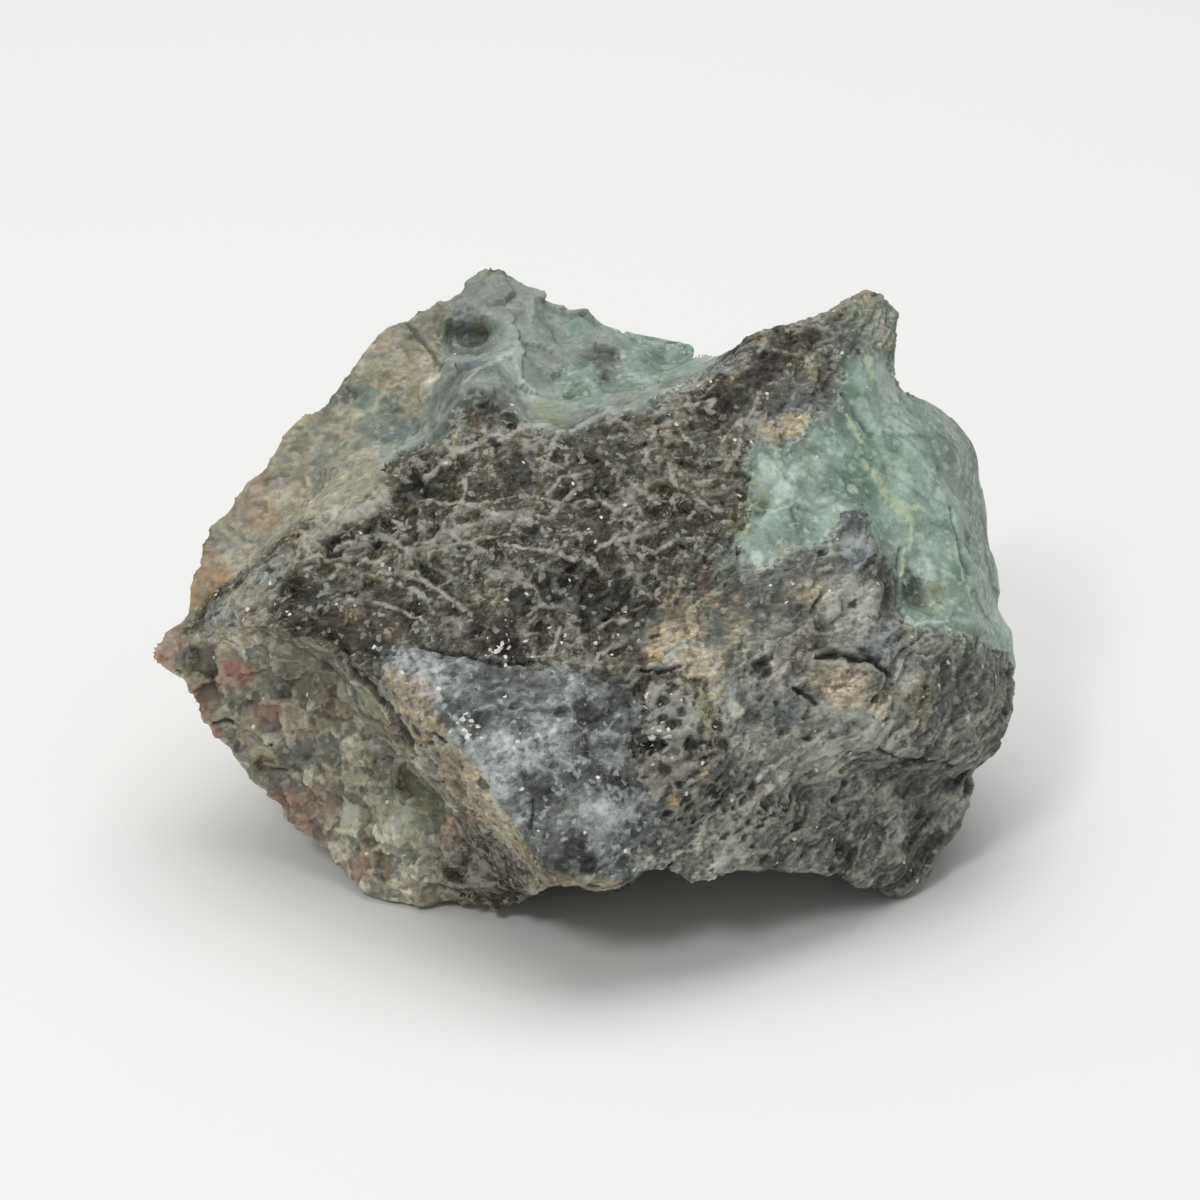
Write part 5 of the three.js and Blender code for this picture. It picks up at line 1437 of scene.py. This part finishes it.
# %% Finish of the weathered slope
slope_finish = mineral_finish(
    "weathered_feldspar_rock", "near_weathered",
    hues=("#68665a", "#878370", "#767a6f", "#9a957f", "#7f7c68", "#a39e8a"),
    patch_mm=2.2, grain_mm=0.4, fibre_mm=(1.2, 0.7),
    light={"fine": 0.3, "fibres": 0.2, "grain": 0.3, "flake": 0.4, "wear_and_painted_shade": 0.8, "zones": 0.6},
    stains=[("olive", "#8e8c66", 0.75), ("deep_green_and_painted_shade", "#4f5a54", 0.9), ("blue", "#626c6c", 0.75),
            ("ochre", "#a4835c", 0.8), ("pink", "#96705f", 0.8), ("green", "#7b8574", 0.7)],
    covers=[("pale", "#bdbdaf", 0.7), ("wisp", "#b0afa2", 0.6), ("dark", "#33322a", 0.8),
            ("crack_and_painted_shadow", "#4a4c42", 0.85)],
    threads=("#b2ae99", 0.25), specks=("#55544a", 0.1, "#b4b0a0", 0.06, 0.35), sparkle=0.0002,
    gloss=(0.45, 0.75), mirror=0.4, tilt=0.25, bump_mm=0.05, ior=1.53)
slope.data.materials.append(slope_finish)

# %% [markdown]
# Banded schist: mica and quartz in thin layers seen end on, brown-grey, with ochre where it is stained.

# %% Finish of the banded schist
banded_finish = mineral_finish(
    "split_quartz_mica_schist", "near_banded",
    hues=("#333432", "#53554f", "#676963", "#7a7a70", "#4f5452", "#827f77"),
    patch_mm=2.0, grain_mm=0.36, fibre_mm=(2.6, 0.24),
    light={"fine": 0.5, "fibres": 1.0, "grain": 0.4, "flake": 1.0, "wear_and_painted_shade": 1.1, "zones": 1.4},
    stains=[("olive", "#80815f", 0.75), ("deep_green_and_painted_shade", "#56604f", 0.6), ("blue", "#5c666b", 0.75),
            ("ochre", "#a08f6e", 0.85), ("pink", "#7f5b4e", 0.75), ("green", "#6f7b6e", 0.8)],
    covers=[("pale", "#aaa99d", 0.7), ("frayed", "#a3a194", 0.65), ("wisp", "#aaa799", 0.65),
            ("dark", "#231c18", 0.85), ("pit_with_painted_shade", "#1a1816", 0.8), ("crack_and_painted_shadow", "#171512", 0.95)],
    threads=("#9d9b8e", 0.55), specks=("#1d1b19", 0.06, "#b2b0a4", 0.06, 0.45), sparkle=0.002,
    gloss=(0.25, 0.6), mirror=0.25, tilt=0.5, bump_mm=0.06, ior=1.55)
banded.data.materials.append(banded_finish)

# %% [markdown]
# The peak: a chlorite rock, grey-green and soapy, the most even part of the lump.

# %% Finish of the chlorite peak
soapy_finish = mineral_finish(
    "rubbed_chlorite_rock", "near_soapy",
    hues=("#5a625b", "#747d75", "#828b84", "#8c958b", "#6d756f"),
    patch_mm=2.0, grain_mm=0.34, fibre_mm=(0.9, 0.9),
    light={"fine": 0.32, "fibres": 0.06, "grain": 0.22, "flake": 0.4, "wear_and_painted_shade": 0.4, "zones": 0.45},
    stains=[("olive", "#838763", 0.8), ("ochre", "#8e8163", 0.75), ("deep_green_and_painted_shade", "#47584a", 0.85),
            ("blue", "#69727a", 0.7), ("pink", "#8f8078", 0.6), ("green", "#769080", 0.85)],
    covers=[("pale", "#b2bab1", 0.6), ("wisp", "#b5bab3", 0.6), ("dark", "#3c3a34", 0.8),
            ("crack_and_painted_shadow", "#2e322d", 0.8)],
    threads=("#a7afa6", 0.25), specks=("#555e56", 0.06, "#a9b2a9", 0.06, 0.3), sparkle=0.0003,
    gloss=(0.35, 0.6), mirror=0.4, tilt=0.22, bump_mm=0.04, ior=1.6)
soapy.data.materials.append(soapy_finish)

# %% [markdown]
# The floor is a plain pale sheet, far larger than the view.

# %% Floor
FLOOR_HALF = 1.5
CARD_TONE = "#e6e6e5"
CARD_ROUGHNESS = 0.7
floor_mesh = bpy.data.meshes.new("floor")
floor_corners = [(-FLOOR_HALF, -FLOOR_HALF, 0), (FLOOR_HALF, -FLOOR_HALF, 0), (FLOOR_HALF, FLOOR_HALF, 0),
                 (-FLOOR_HALF, FLOOR_HALF, 0)]
floor_mesh.from_pydata(floor_corners, [], [(0, 1, 2, 3)])
floor = bpy.data.objects.new("floor", floor_mesh)
bpy.context.scene.collection.objects.link(floor)
floor_finish = bpy.data.materials.new("matt_white_card")
floor_finish.use_nodes = True
floor_surface = floor_finish.node_tree.nodes["Principled BSDF"]
floor_surface.inputs["Base Color"].default_value = linear(CARD_TONE)
floor_surface.inputs["Roughness"].default_value = CARD_ROUGHNESS
floor_mesh.materials.append(floor_finish)
print("floor of", 2 * FLOOR_HALF, "m")

# %% [markdown]
# Light: a wide soft lamp overhead, a smaller one at the upper left in front that the mica flakes can
# mirror, and pale surroundings.

# %% Light
LOOKED_AT = Vector((0, 0, 0.015))
ROOM_TONE = "#f5f5f4"
ROOM_STRENGTH = 0.45


def lamp(name, place, side, power):
    """A soft square lamp that looks at the stone."""
    data = bpy.data.lights.new(name, "AREA")
    data.size = side
    data.energy = power
    made = bpy.data.objects.new(name, data)
    made.location = place
    made.rotation_euler = (LOOKED_AT - Vector(place)).to_track_quat("-Z", "Y").to_euler()
    bpy.context.scene.collection.objects.link(made)
    return made


overhead = lamp("overhead", (0.0, 0.12, 0.55), side=0.5, power=2.2)
sparkler = lamp("sparkler", (-0.2, -0.35, 0.45), side=0.12, power=0.9)
world = bpy.data.worlds.new("pale_room")
world.use_nodes = True
bpy.context.scene.world = world
sky = world.node_tree.nodes["Background"]
sky.inputs["Color"].default_value = linear(ROOM_TONE)
sky.inputs["Strength"].default_value = ROOM_STRENGTH
print("lamps", overhead.name, sparkler.name)
